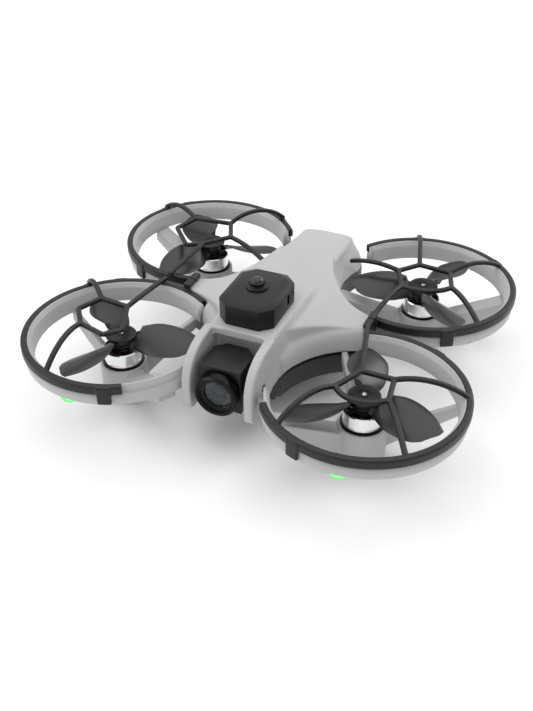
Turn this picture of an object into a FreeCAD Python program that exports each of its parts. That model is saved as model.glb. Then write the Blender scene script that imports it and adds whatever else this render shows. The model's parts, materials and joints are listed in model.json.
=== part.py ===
import FreeCAD, Part

import math
import os
import re

import Sketcher

# Ducted four-rotor racing drone.
# Frame: +Z up, nose towards -Y, left-hand side of the craft at +X.
# Origin: on the standing surface, midway between the four rotor axes.

# ---------------------------------------------------------------- driving sizes
SIZES = {
    # rotor layout
    "rotor_x": 60.0,             # rotor axis to the centre plane, sideways
    "rotor_y": 49.0,             # rotor axis to the centre plane, fore and aft
    "rim_top": 37.0,             # top of the guard rim above the standing surface
    # moulded ducts
    "duct_radius": 45.0,
    "duct_throat": 40.5,         # inner radius at the bottom of the duct
    "duct_lip": 42.5,            # inner radius at the flared top edge
    "duct_depth": 10.5,
    "duct_wall": 1.3,
    "duct_gap": 0.2,             # between a duct and the body parts beside it
    "front_duct_start": 200.0,   # where a left-hand duct leaves the body, degrees
    "front_left_sweep": 268.0,
    "front_right_sweep": 288.0,
    "rear_duct_start": 253.0,
    "rear_left_sweep": 254.0,
    "rear_right_sweep": 254.0,
    # motor pods and their arms
    "pod_radius": 11.2,
    "pod_wall": 1.5,
    "pod_top": 19.0,
    "pod_floor": 2.0,
    "motor_seat": 17.0,          # upper face of the pod floor
    "pad_height": 1.6,
    "pad_plug": 3.0,
    "arm_reach": 44.0,
    "arm_low_in": 3.0,           # arm's lower and upper edge at the pod
    "arm_high_in": 16.0,
    "arm_low_out": 22.0,         # the same at the duct wall
    "arm_high_out": 27.5,
    "arm_thin": 3.0,
    "arm_broad": 9.0,
    # guards
    "guard_radius": 46.0,
    "guard_seat": 43.4,          # radius of the duct step that the rim sits on
    "guard_depth": 4.4,
    "guard_cap": 0.9,            # thickness of the rim's top flange
    "guard_inner": 42.8,
    "lug_end": 42.7,             # from the rotor axis to the near end of the lug
    "lug_width": 3.6,
    "lug_height": 2.6,
    "lug_drop": 7.5,
    "lug_wall": 1.4,
    "lug_gap": 0.3,
    "bar_width": 2.5,
    "bar_depth": 2.2,
    "cage_height": 2.5,          # middle of the cage bars above the rim
    "arch_share": 0.6,           # where along a leg its rise is given
    "hook_width": 6.0,
    "hook_drop": 9.2,
    "hook_wall": 1.6,
    "hook_gap": 0.05,            # between a hook and the duct's outer wall
    # motors
    "bell_radius": 9.0,
    "bell_wall": 0.9,
    "bell_gap": 0.7,             # between the bell and the pod wall
    "bell_bottom": 19.6,
    "bell_top": 26.8,
    "bell_plate": 1.2,
    "base_thick": 1.6,
    "base_radius": 9.2,
    "stator_radius": 7.4,
    "stator_bottom": 19.8,
    "stator_top": 25.2,
    "tube_radius": 2.4,
    "shaft_radius": 1.0,
    "shaft_clearance": 0.04,
    "shaft_bottom": 18.8,
    "shaft_top": 34.6,
    "bolt_circle": 4.5,
    "bolt_radius": 1.0,
    "bolt_clearance": 0.1,
    "bolt_head": 1.9,
    "bolt_head_height": 1.3,
    # propellers
    "hub_bottom": 27.1,
    "hub_top": 33.0,
    "hub_low_radius": 4.6,
    "hub_high_radius": 6.0,
    "cap_radius": 7.3,
    "cap_height": 1.2,
    "blade_tip": 37.6,
    "blade_level": 31.0,
    "blade_chord": 20.0,
    "blade_thick": 1.1,
    "blade_pitch": 44.0,         # advance per turn, mm
    # body shell and chassis
    "shell_front": -46.5,
    "shell_rear": 76.0,
    "shell_skirt": 24.8,         # lower edge of the shell
    "roof_high": 49.0,
    "roof_low": 40.4,
    "roof_break": -5.0,          # where the level roof starts to fall to the rear
    "roof_half_front": 15.8,
    "roof_half_mid": 17.2,
    "roof_half_rear": 14.0,
    "flank_front": 17.7,
    "flank_mid": 23.0,
    "flank_rear": 20.5,
    "roof_chamfer": 2.2,
    "shell_wall": 1.8,
    "body_cut": 42.2,            # radius that the rotors leave in shell and chassis
    "wing_inset": 13.0,          # from a rotor axis in to the wing tip
    "wing_root": 45.2,
    "wing_tip": 37.3,
    "wing_length": 40.0,
    "cheek_inner": 12.7,
    "cheek_thick": 4.4,
    "cheek_front": -71.2,
    "cheek_bottom": 18.4,
    "fascia_drop": 4.0,
    "belly": 12.0,
    "belly_half": 15.4,
    "flank_bottom": 14.8,
    "chassis_front": -42.0,
    "chassis_inset": 16.0,       # from a rotor axis in to the tub's side
    "chassis_wall": 1.6,
    "boss_radius": 2.6,
    "screw_bite": 8.0,           # how far a cover screw reaches into the shell's boss
    # camera
    "camera_half": 9.7,
    "camera_front": -66.5,
    "camera_rear": -47.5,
    "camera_bottom": 20.2,
    "camera_top": 42.2,
    "camera_corner": 4.5,
    "camera_wall": 1.4,
    "pivot_y": -58.5,
    "pivot_z": 31.0,
    "lens_z": 30.6,
    "lens_radius": 10.3,
    "lens_front": -72.4,
    "glass_radius": 6.6,
    "barrel_depth": 5.0,         # how far the barrel reaches into the case
    # roof unit
    "unit_half": 13.4,
    "unit_front": -43.0,
    "unit_rear": -8.0,
    "unit_height": 11.6,
    "unit_corner": 5.4,
    "unit_bevel": 1.8,
    "unit_wall": 1.4,
    "dome_y": -25.5,
    "bezel_radius": 5.3,
    "bezel_height": 1.3,
    "dome_radius": 3.1,
    # lamps, inside parts, controls
    "lamp_length": 3.9,
    "lamp_width": 2.1,
    "lamp_height": 3.2,
    "lamp_ring": 42.8,
    "front_lamp_angle": 274.0,
    "rear_lamp_angle": 315.5,
    "board_size": 26.0,
    "board_thick": 1.6,
    "board_level": 19.5,
    "board_y": -24.0,
    "battery_width": 24.0,
    "battery_length": 60.0,
    "battery_height": 17.0,
    "battery_gap": 1.0,          # between the battery and the charging socket
    "button_radius": 2.6,
    "button_travel": 0.8,
    "button_clearance": 0.35,
    "button_x": -8.0,
    "button_z": 32.5,
    "socket_x": 6.0,
    "socket_z": 20.5,
    "socket_width": 9.0,
    "socket_height": 3.4,
    "socket_depth": 7.0,
    "socket_wall": 0.5,
    "tongue_width": 6.4,
    "tongue_height": 0.7,
    "tail_inset": 4.0,           # the tub's end wall ahead of the shell's rear face
}

# which side and which end each rotor is on
CORNERS = {
    "front_left": (1, -1),
    "front_right": (-1, -1),
    "rear_left": (1, 1),
    "rear_right": (-1, 1),
}

# arms of a left-hand pod: bearing in degrees, and which width
FRONT_ARMS = ((25.0, "arm_thin"), (120.0, "arm_thin"), (212.0, "arm_broad"))
REAR_ARMS = ((20.0, "arm_broad"), (198.0, "arm_broad"))

# cages: bearing and reach of each knot, going round; the left and right guards differ
CAGES = {
    "front_left": ((209.0, 13.0), (117.0, 9.5), (37.0, 13.2), (333.0, 13.8)),
    "front_right": ((74.0, 14.6), (39.0, 25.0), (8.0, 24.9), (337.0, 18.3), (283.0, 11.5), (231.0, 6.0)),
    "rear_left": ((181.0, 13.5), (118.0, 10.9), (35.0, 13.7), (338.0, 16.6), (241.0, 16.4)),
    "rear_right": ((184.0, 12.4), (113.0, 14.7), (37.0, 18.9), (352.0, 19.6), (288.0, 19.1), (263.0, 13.4)),
}

# the side of a cage that bows outwards: the knot it follows, bearing and reach of its middle
BOWS = {"front_left": (3, 271.0, 12.4), "rear_left": (3, 290.0, 15.0)}

# legs: knot, bearing and reach of the foot, the foot's height above the rim, and the rise on the way
LEGS = {
    "front_left": ((0, 234.0, 44.4, -1.1, 5.6), (1, 106.0, 47.5, 1.6, 4.0), (2, 16.0, 44.6, -1.1, 4.2),
                   (3, 309.0, 44.4, -1.1, 1.8)),
    "front_right": ((0, 89.0, 47.2, 1.2, 2.0), (1, 40.0, 46.4, 0.0, 5.0), (3, 287.0, 44.4, -1.1, 4.6)),
    "rear_left": ((0, 172.0, 40.0, -1.0, 2.4), (1, 108.0, 46.4, 0.0, 5.6), (2, 42.0, 45.0, -1.0, 4.4),
                  (3, 320.0, 44.4, -1.0, 2.6), (4, 254.0, 47.5, 1.6, 3.6)),
    "rear_right": ((0, 200.0, 37.0, -1.1, 2.0), (1, 128.0, 46.4, 0.0, 7.0), (2, 30.0, 46.4, 0.0, 5.0),
                   (5, 271.0, 47.2, 1.2, 2.0)),
}

# where each rim starts, as a left-hand bearing; the front pair differ
RIM_START = {"front_left": 214.0, "front_right": 239.0, "rear_left": 253.0, "rear_right": 253.0}

# where each rim ends, beside the wing in front and at the body behind
RIM_END = {"front_left": 466.0, "front_right": 485.0, "rear_left": 507.0, "rear_right": 507.0}

# bearings of the hooks that hold a guard on its duct
HOOKS = {
    "front_left": (249.0, 60.0),
    "front_right": (249.0, 60.0, 40.0),
    "rear_left": (299.0, 47.0, 108.0),
    "rear_right": (299.0, 47.0, 30.0, 128.0),
}

# angle of the first blade of each propeller at rest
BLADE_START = {"front_left": -20.0, "front_right": 12.0, "rear_left": 74.0, "rear_right": 136.0}

# places of the screws that hold the shell to the chassis
COVER_SCREWS = (("flank_mid - 3.6", "0"), ("-flank_mid + 3.6", "0"))

UP = FreeCAD.Vector(0, 0, 1)
doc = FreeCAD.newDocument("quadcopter")
sheet = doc.addObject("Spreadsheet::Sheet", "params")
nodes = {}


# ---------------------------------------------------------------- helpers
def fill_sheet():
    for row, (name, value) in enumerate(SIZES.items(), start=1):
        sheet.set("A%d" % row, name)
        sheet.set("B%d" % row, str(value))
        sheet.setAlias("B%d" % row, name)
    doc.recompute()


def bind(text):
    """Point every size name in an expression at its spreadsheet cell."""
    return re.sub(r"[a-z_]+", lambda word: ("params." if word.group(0) in SIZES else "") + word.group(0), text)


def size(text):
    """The value of an expression, in mm or degrees."""
    return float(sheet.evalExpression(bind(text)))


def put(item, x="0", y="0", z="0", turn=None, axis=UP):
    """Place an item, with its position bound to the sheet."""
    if turn is not None:
        item.Placement = FreeCAD.Placement(FreeCAD.Vector(), FreeCAD.Rotation(axis, turn))
    item.setExpression(".Placement.Base.x", bind(x))
    item.setExpression(".Placement.Base.y", bind(y))
    item.setExpression(".Placement.Base.z", bind(z))
    return item


def make(kind, name, **sizes):
    """A Part primitive whose sizes are bound to the sheet."""
    item = doc.addObject("Part::" + kind, name)
    for prop, text in sizes.items():
        item.setExpression(prop, bind(text))
    return item


def disc(name, radius, bottom, top, x="0", y="0"):
    return put(make("Cylinder", name, Radius=radius, Height="(%s) - (%s)" % (top, bottom)), x, y, bottom)


def block(name, x_low, x_high, y_low, y_high, z_low, z_high):
    item = make("Box", name, Length="(%s) - (%s)" % (x_high, x_low), Width="(%s) - (%s)" % (y_high, y_low),
                Height="(%s) - (%s)" % (z_high, z_low))
    return put(item, x_low, y_low, z_low)


def fuse(name, parts):
    item = doc.addObject("Part::MultiFuse", name)
    item.Shapes = parts
    return item


def cut(name, base, tools):
    item = doc.addObject("Part::Cut", name)
    item.Base = base
    item.Tool = tools[0] if len(tools) == 1 else fuse(name + "_tools", tools)
    return item


def common(name, first, second):
    item = doc.addObject("Part::Common", name)
    item.Base = first
    item.Tool = second
    return item


def group(name, parts):
    """Identical separate solids in one node."""
    item = doc.addObject("Part::Compound", name)
    item.Links = parts
    return item


def shaped(name, shape):
    """An object whose shape is made by Part's own functions."""
    item = doc.addObject("Part::Feature", name)
    item.Shape = shape
    return item


def keep(label, item):
    """Register a finished sub-part under its own name."""
    item.Label = label
    nodes[label] = item
    return item


def bearing(side, angle):
    """A left-hand bearing, mirrored for the right-hand side."""
    return angle if side > 0 else 180.0 - angle


def sector_start(side, start, sweep):
    return start if side > 0 else 180.0 - start - sweep


def around(radius, angle, z):
    turn = math.radians(angle)
    return FreeCAD.Vector(radius * math.cos(turn), radius * math.sin(turn), z)


def at_rotor(item, side, end):
    return put(item, "%d * rotor_x" % side, "%d * rotor_y" % end)


def plane_of(body, role):
    return next(item for item in body.Origin.OriginFeatures if item.Role == role)


def outline(body, name, role, offset, points):
    """A closed sketch outline whose corners are bound to the sheet."""
    sketch = body.newObject("Sketcher::SketchObject", name)
    sketch.AttachmentSupport = (plane_of(body, role), [""])
    sketch.MapMode = "FlatFace"
    sketch.setExpression(".AttachmentOffset.Base.z", bind(offset))
    corners = [FreeCAD.Vector(size(x), size(y), 0) for x, y in points]
    count = len(corners)
    for index in range(count):
        sketch.addGeometry(Part.LineSegment(corners[index], corners[(index + 1) % count]))
    for index in range(count):
        sketch.addConstraint(Sketcher.Constraint("Coincident", index, 2, (index + 1) % count, 1))
    for index, (x, y) in enumerate(points):
        for kind, text, value in (("DistanceX", x, corners[index].x), ("DistanceY", y, corners[index].y)):
            number = sketch.addConstraint(Sketcher.Constraint(kind, -1, 1, index, 1, value))
            sketch.setExpression("Constraints[%d]" % number, bind(text))
    return sketch


def pad(body, name, sketch, length, symmetric=False):
    item = body.newObject("PartDesign::Pad", name)
    item.Profile = sketch
    item.setExpression("Length", bind(length))
    item.Midplane = symmetric
    body.Tip = item
    return item


def revolved(name, points):
    """A turned piece: its half section in the XZ plane, spun about Z."""
    body = doc.addObject("PartDesign::Body", name)
    sketch = outline(body, name + "_section", "XZ_Plane", "0", points)
    spin = body.newObject("PartDesign::Revolution", name + "_turned")
    spin.Profile = sketch
    spin.ReferenceAxis = (sketch, ["V_Axis"])
    spin.Angle = 360.0
    body.Tip = spin
    return body


# ---------------------------------------------------------------- ducts and pods
def duct(name, side, end):
    """Moulded duct sector with its motor pod and arms, around the rotor axis."""
    label = "duct_" + name
    which = "front" if end < 0 else "rear"
    sweep = name + "_sweep"
    start = sector_start(side, size(which + "_duct_start"), size(sweep))
    floor = "rim_top - duct_depth"
    step = "rim_top - guard_depth"

    def sector(name, radius, bottom, top):
        item = make("Cylinder", name, Radius=radius, Height="(%s) - (%s)" % (top, bottom), Angle=sweep)
        return put(item, z=bottom, turn=start)

    outer = fuse(label + "_outer", [
        sector(label + "_wall", "duct_radius", floor, step),
        sector(label + "_step", "guard_seat", floor, "rim_top - guard_cap"),
    ])
    throat = put(make("Cone", label + "_throat", Radius1="duct_throat", Radius2="duct_lip",
                      Height="duct_depth"), z=floor)
    groove_outer = disc(label + "_groove_outer", "guard_seat - duct_wall / 2", floor, "rim_top - duct_wall * 2")
    groove_inner = put(make("Cone", label + "_groove_inner", Radius1="duct_throat + duct_wall",
                            Radius2="duct_lip + duct_wall", Height="duct_depth"), z=floor)
    groove = cut(label + "_groove", groove_outer, [groove_inner])
    ring = cut(label + "_ring", outer, [throat, groove])

    arms = []
    for index, (angle, width) in enumerate(FRONT_ARMS if end < 0 else REAR_ARMS):
        half = "%s / 2" % width
        arm = make("Wedge", "%s_arm_%d" % (label, index), Xmin="-" + half, Xmax=half, X2min="-" + half,
                   X2max=half, Ymin="pod_radius - pod_wall", Ymax="arm_reach", Zmin="arm_low_in",
                   Zmax="arm_high_in", Z2min="arm_low_out", Z2max="arm_high_out")
        arms.append(put(arm, turn=bearing(side, angle) - 90.0))
    reach = disc(label + "_reach", "body_cut", "0", "rim_top")
    webs = common(label + "_webs", fuse(label + "_arms", arms), reach)

    pod = disc(label + "_pod", "pod_radius", "pad_height", "pod_top")
    body = fuse(label + "_body", [ring, webs, pod])
    hollows = [
        disc(label + "_well", "bell_radius + bell_gap", "motor_seat", "pod_top"),
        disc(label + "_hollow", "pod_radius - pod_wall", "pad_height", "motor_seat - pod_floor"),
        disc(label + "_eye", "tube_radius + bolt_clearance", "pad_height", "motor_seat"),
    ]
    for index in range(4):
        spot = around(size("bolt_circle"), 45.0 + 90.0 * index, 0)
        hollows.append(disc("%s_hole_%d" % (label, index), "bolt_radius + bolt_clearance", "pad_height",
                            "motor_seat", str(spot.x), str(spot.y)))
    item = cut(label, body, hollows)
    return keep(label, at_rotor(item, side, end))


def landing_pads():
    """Soft plugs pressed into the feet of the pods."""
    pads = []
    for name, (side, end) in CORNERS.items():
        pad_piece = revolved("pad_" + name, (
            ("0", "0"),
            ("pod_radius - pad_height", "0"),
            ("pod_radius", "pad_height"),
            ("pod_radius - pod_wall", "pad_height"),
            ("pod_radius - pod_wall", "pad_height + pad_plug"),
            ("0", "pad_height + pad_plug"),
        ))
        pads.append(at_rotor(pad_piece, side, end))
    return keep("landing_pads", group("landing_pads", pads))


# ---------------------------------------------------------------- guards
def square(centre, along, width, depth):
    """A rectangular section across a bar that runs in the given direction."""
    flat = UP.cross(along).normalize()
    rise = along.cross(flat).normalize()
    corners = [centre + flat * (width * a / 2) + rise * (depth * b / 2)
               for a, b in ((-1, -1), (1, -1), (1, 1), (-1, 1), (-1, -1))]
    return Part.makePolygon(corners)


def straight_bar(first, last, width, depth):
    along = (last - first).normalize()
    return Part.Face(square(first, along, width, depth)).extrude(last - first)


def arched_bar(first, middle, last, width, depth):
    edge = Part.Arc(first, middle, last).toShape()
    along = edge.tangentAt(edge.FirstParameter).normalize()
    spine = Part.Wire([edge])
    return spine.makePipeShell([square(first, along, width, depth)], True, False)


def round_end(centre, width, depth):
    """A short round post where bars meet or a leg ends."""
    return Part.makeCylinder(width * 0.62, depth, centre - UP * (depth / 2))


def ring_sector(inner, outer, bottom, top, start, sweep):
    corners = [FreeCAD.Vector(r, 0, z) for r, z in ((inner, bottom), (outer, bottom), (outer, top), (inner, top))]
    face = Part.Face(Part.makePolygon(corners + corners[:1]))
    face.rotate(FreeCAD.Vector(), UP, start)
    return face.revolve(FreeCAD.Vector(), UP, sweep)


def lug(side, end):
    """The rim's foot that grips the wing tip from above and outside."""
    x = side * (size("rotor_x - wing_inset") + size("duct_gap") + size("lug_wall"))
    y = -end * (size("rotor_y") - size("lug_gap"))
    top = size("wing_tip") + size("duct_gap")
    length = size("rotor_y - lug_gap - lug_end")
    plate = Part.makeBox(size("lug_wall"), length, size("lug_drop") + size("lug_height"))
    deck = Part.makeBox(size("lug_width"), length, size("lug_height"))
    shift = FreeCAD.Vector(x - side * size("rotor_x"), y, top)
    x_low = 0 if side < 0 else -1
    y_low = -1 if end < 0 else 0
    plate.translate(shift + FreeCAD.Vector(x_low * size("lug_wall"), y_low * length, -size("lug_drop")))
    deck.translate(shift + FreeCAD.Vector(x_low * size("lug_width"), y_low * length, 0))
    return [plate, deck]


def guard(name, side, end):
    """Snap-on rim with a cage of thin bars over the propeller."""
    label = "guard_" + name
    sweep = RIM_END[name] - RIM_START[name]
    start = sector_start(side, RIM_START[name], sweep)
    top = size("rim_top")
    width = size("bar_width")
    depth = size("bar_depth")
    level = top + size("cage_height")
    pieces = [
        ring_sector(size("guard_seat"), size("guard_radius"), top - size("guard_depth"), top, start, sweep),
        ring_sector(size("guard_inner"), size("guard_radius"), top - size("guard_cap"), top, start, sweep),
    ]
    knots = [around(reach, bearing(side, knot), level) for knot, reach in CAGES[name]]
    bow_after, bow_bearing, bow_reach = BOWS.get(name, (None, 0.0, 0.0))
    for index, here in enumerate(knots):
        there = knots[(index + 1) % len(knots)]
        if index == bow_after:
            middle = around(bow_reach, bearing(side, bow_bearing), level)
            pieces.append(arched_bar(here, middle, there, width, depth))
        else:
            pieces.append(straight_bar(here, there, width, depth))
        pieces.append(round_end(here, width, depth))
    for index, foot, reach, height, rise in LEGS[name]:
        heel = around(reach, bearing(side, foot), top + height)
        middle = knots[index] + (heel - knots[index]) * size("arch_share")
        middle.z = top + rise
        pieces.append(arched_bar(knots[index], middle, heel, width, depth))
        pieces.append(round_end(heel, width, depth))
    wall = size("duct_radius") + size("hook_gap")
    for angle in HOOKS[name]:
        hook = Part.makeBox(size("hook_wall"), size("hook_width"), size("hook_drop"),
                            FreeCAD.Vector(wall, -size("hook_width") / 2, top - size("hook_drop")))
        hook.rotate(FreeCAD.Vector(), UP, bearing(side, angle))
        pieces.append(hook)
    pieces.extend(lug(side, end))
    body = doc.getObject("hull").Shape.copy()
    body.translate(FreeCAD.Vector(-side * size("rotor_x"), -end * size("rotor_y"), 0))
    taken = [
        Part.makeCylinder(size("duct_radius"), top - size("guard_depth")),
        Part.makeCylinder(size("guard_seat"), top - size("guard_cap")),
        body,
    ]
    shape = pieces[0].multiFuse(pieces[1:]).cut(taken).removeSplitter()
    item = shaped(label, shape)
    return keep(label, at_rotor(item, side, end))


# ---------------------------------------------------------------- motors
def motor(name, side, end):
    """Outrunner motor: fixed base and stator, turning bell and shaft."""
    base = disc("base_" + name, "base_radius", "motor_seat", "motor_seat + base_thick")
    tube = disc("tube_" + name, "tube_radius", "motor_seat", "stator_top + 0.3")
    core = disc("core_" + name, "stator_radius", "stator_bottom", "stator_top")
    neck = disc("neck_" + name, "tube_radius + 1", "motor_seat", "stator_bottom")
    cuts = [disc("bore_" + name, "shaft_radius + shaft_clearance", "motor_seat", "stator_top + 0.3")]
    for index in range(4):
        spot = around(size("bolt_circle"), 45.0 + 90.0 * index, 0)
        cuts.append(disc("tap_%s_%d" % (name, index), "bolt_radius", "motor_seat", "motor_seat + base_thick",
                         str(spot.x), str(spot.y)))
    slots = 9
    for index in range(slots):
        spot = around(size("stator_radius") - 1.9, 360.0 / slots * index, 0)
        cuts.append(disc("slot_%s_%d" % (name, index), "0.85", "stator_bottom", "stator_top",
                         str(spot.x), str(spot.y)))
    item = cut("stator_" + name, fuse("motor_core_" + name, [base, tube, core, neck]), cuts)
    keep("motor_stator_" + name, at_rotor(item, side, end))

    shell = disc("shell_" + name, "bell_radius", "bell_bottom", "bell_top")
    hub = disc("boss_" + name, "shaft_radius + 2.2", "bell_top", "hub_bottom")
    inside = disc("inside_" + name, "bell_radius - bell_wall", "bell_bottom", "bell_top - bell_plate")
    bell_cuts = [inside, disc("bell_bore_" + name, "shaft_radius", "bell_bottom", "hub_bottom")]
    windows = 6
    for index in range(windows):
        spot = around(size("bell_radius") * 0.6, 360.0 / windows * index + 12.0, 0)
        bell_cuts.append(disc("window_%s_%d" % (name, index), "1.75", "bell_bottom", "bell_top",
                              str(spot.x), str(spot.y)))
    item = cut("bell_" + name, fuse("bell_body_" + name, [shell, hub]), bell_cuts)
    keep("motor_bell_" + name, at_rotor(item, side, end))

    item = disc("shaft_" + name, "shaft_radius", "shaft_bottom", "shaft_top")
    item.setExpression(".Placement.Base.x", bind("%d * rotor_x" % side))
    item.setExpression(".Placement.Base.y", bind("%d * rotor_y" % end))
    keep("motor_shaft_" + name, item)


def motor_screws():
    """Four screws up through each pod floor into the motor base."""
    screws = []
    for name, (side, end) in CORNERS.items():
        for index in range(4):
            spot = around(size("bolt_circle"), 45.0 + 90.0 * index, 0)
            x = "%d * rotor_x + (%f)" % (side, spot.x)
            y = "%d * rotor_y + (%f)" % (end, spot.y)
            seat = "motor_seat - pod_floor"
            head = disc("head_%s_%d" % (name, index), "bolt_head", seat + " - bolt_head_height", seat, x, y)
            stem = disc("stem_%s_%d" % (name, index), "bolt_radius", seat, "motor_seat + base_thick", x, y)
            screws.append(fuse("motor_screw_%s_%d" % (name, index), [head, stem]))
    return keep("motor_screws", group("motor_screws", screws))


# ---------------------------------------------------------------- propellers
def blade_section(radius, chord, thick, pitch, lead, level):
    """A cambered section of a blade, across the blade at a given radius."""
    turn = math.atan(pitch / (2 * math.pi * radius))
    forward = FreeCAD.Vector(0, math.cos(turn), math.sin(turn))
    above = FreeCAD.Vector(0, -math.sin(turn), math.cos(turn))
    middle = FreeCAD.Vector(radius, 0, level) + forward * lead
    front = middle + forward * (chord / 2)
    back = middle - forward * (chord / 2)
    upper = Part.Arc(back, middle + above * (0.06 * chord + thick), front).toShape()
    lower = Part.Arc(front, middle + above * (0.06 * chord - thick * 0.2), back).toShape()
    return Part.Wire([upper, lower])


def propeller(name, side, end):
    """Three-bladed propeller; the front pair is of one hand, the rear pair of the other."""
    hand = -end
    level = size("blade_level")
    tip = size("blade_tip")
    chord = size("blade_chord")
    stations = ((0.10, 0.42), (0.24, 0.64), (0.42, 0.95), (0.60, 1.0), (0.78, 0.90), (0.93, 0.68), (1.0, 0.46))
    sections = [
        blade_section(tip * share, chord * width, size("blade_thick") * (1.3 - 0.7 * share),
                      size("blade_pitch") * (0.55 if share < 0.15 else 1.0), 1.5 * math.sin(math.pi * share), level)
        for share, width in stations
    ]
    blade = Part.makeLoft(sections, True, False)
    hub = Part.makeCone(size("hub_low_radius"), size("hub_high_radius"), size("hub_top - hub_bottom"),
                        FreeCAD.Vector(0, 0, size("hub_bottom")))
    blades = []
    for index in range(3):
        turned = blade.copy()
        turned.rotate(FreeCAD.Vector(), UP, 120.0 * index)
        blades.append(turned)
    bore = Part.makeCylinder(size("shaft_radius"), size("hub_top"))
    cap_room = Part.makeCylinder(size("cap_radius"), size("hub_top"), FreeCAD.Vector(0, 0, size("hub_top")))
    shape = hub.multiFuse(blades).cut([bore, cap_room])
    if hand < 0:
        shape = shape.mirror(FreeCAD.Vector(), FreeCAD.Vector(0, 1, 0))
    shape.rotate(FreeCAD.Vector(), UP, BLADE_START[name])
    keep("propeller_" + name, at_rotor(shaped("prop_" + name, shape), side, end))

    cap = revolved("cap_" + name, (
        ("shaft_radius", "hub_top"),
        ("cap_radius - 0.3", "hub_top"),
        ("cap_radius", "hub_top + 0.3"),
        ("cap_radius", "hub_top + cap_height - 0.4"),
        ("cap_radius - 0.8", "hub_top + cap_height"),
        ("shaft_radius", "hub_top + cap_height"),
    ))
    keep("propeller_cap_" + name, at_rotor(cap, side, end))


# ---------------------------------------------------------------- body shell and chassis
def rotor_room(name, bottom, top, wall="0"):
    """What the rotors and the duct sectors take out of the body parts, grown by a wall."""
    room = []
    for corner, (side, end) in CORNERS.items():
        which = "front" if end < 0 else "rear"
        sweep = corner + "_sweep"
        start = sector_start(side, size(which + "_duct_start"), size(sweep))
        height = "(%s) - (%s)" % (top, bottom)
        inner = make("Cylinder", "%s_inner_%s" % (name, corner), Radius="body_cut + " + wall,
                     Height=height)
        outer = make("Cylinder", "%s_outer_%s" % (name, corner), Radius="guard_radius + duct_gap + " + wall,
                     Height=height, Angle=sweep)
        outer.Placement = FreeCAD.Placement(FreeCAD.Vector(), FreeCAD.Rotation(UP, start))
        for item in (inner, outer):
            put(item, "%d * rotor_x" % side, "%d * rotor_y" % end, bottom)
            room.append(item)
    return fuse(name, room)


def cross_section(half, flank, roof, inset):
    """Outline of the body across its length, drawn in by an inset."""
    top = "%s - %s" % (roof, inset)
    low = "shell_skirt"
    return (
        ("-%s + %s" % (flank, inset), low),
        ("%s - %s" % (flank, inset), low),
        ("%s + 0.6 - %s" % (half, inset), top + " - roof_chamfer"),
        ("%s - roof_chamfer - %s / 2" % (half, inset), top),
        ("-%s + roof_chamfer + %s / 2" % (half, inset), top),
        ("-%s - 0.6 + %s" % (half, inset), top + " - roof_chamfer"),
    )


def hull(name, front, rear, inset):
    """The body as a loft of cross-sections from front to rear."""
    body = doc.addObject("PartDesign::Body", name)
    sections = []
    for index, (place, half, flank, roof) in enumerate((
        (front, "roof_half_front", "flank_front", "roof_high"),
        ("roof_break", "roof_half_mid", "flank_mid", "roof_high"),
        (rear, "roof_half_rear", "flank_rear", "roof_low"),
    )):
        points = cross_section(half, flank, roof, inset)
        sections.append(outline(body, "%s_section_%d" % (name, index), "XZ_Plane", "-(%s)" % place, points))
    loft = body.newObject("PartDesign::AdditiveLoft", name + "_loft")
    loft.Profile = sections[0]
    loft.Sections = sections[1:]
    loft.Ruled = True
    body.Tip = loft
    return body


def wings(name, inset):
    """Sloping wings that reach out between the ducts."""
    body = doc.addObject("PartDesign::Body", name)
    half = (
        ("rotor_x - wing_inset - %s" % inset, "shell_skirt"),
        ("rotor_x - wing_inset - %s" % inset, "wing_tip - %s" % inset),
        ("(rotor_x - wing_inset + flank_mid) / 2", "wing_tip + 0.12 * (wing_root - wing_tip) - %s" % inset),
        ("roof_half_mid + 0.35 * (flank_mid - roof_half_mid) + 4", "wing_tip + 0.52 * (wing_root - wing_tip) - %s" % inset),
        ("roof_half_mid", "wing_root - %s" % inset),
    )
    mirrored = tuple(("-(%s)" % x, z) for x, z in reversed(half))
    sketch = outline(body, name + "_section", "XZ_Plane", "0", half + mirrored)
    pad(body, name + "_pad", sketch, "wing_length * 2 - %s * 2" % inset, symmetric=True)
    return body


def cheek(name, side):
    """One side plate of the fork that carries the camera."""
    body = doc.addObject("PartDesign::Body", name)
    points = (
        ("shell_front + 1", "shell_skirt"),
        ("shell_front + 1", "roof_high"),
        ("cheek_front + 15", "roof_high - 1.2"),
        ("cheek_front + 9.5", "roof_high - 3"),
        ("cheek_front + 5", "roof_high - 5.6"),
        ("cheek_front + 2", "roof_high - 8.4"),
        ("cheek_front + 0.6", "roof_high - 12"),
        ("cheek_front", "roof_high - 18"),
        ("cheek_front + 0.2", "cheek_bottom + 4"),
        ("cheek_front + 1.4", "cheek_bottom + 1"),
        ("cheek_front + 3.4", "cheek_bottom"),
        ("cheek_front + 14", "cheek_bottom"),
    )
    offset = "cheek_inner" if side > 0 else "-cheek_inner - cheek_thick"
    sketch = outline(body, name + "_side", "YZ_Plane", offset, points)
    pad(body, name + "_pad", sketch, "cheek_thick")
    return body


def hollowed(name, solid, bottom, wall):
    """A cavity kept one wall away from the rotors' room."""
    return cut(name, solid, [rotor_room(name + "_keep", bottom, "roof_high", wall)])


def screw_bosses(name, bottom, top):
    return [disc("%s_%d" % (name, index), "boss_radius", bottom, top, x, y)
            for index, (x, y) in enumerate(COVER_SCREWS)]


def screw_holes(name, radius, bottom, top):
    return [disc("%s_%d" % (name, index), radius, bottom, top, x, y)
            for index, (x, y) in enumerate(COVER_SCREWS)]


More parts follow.
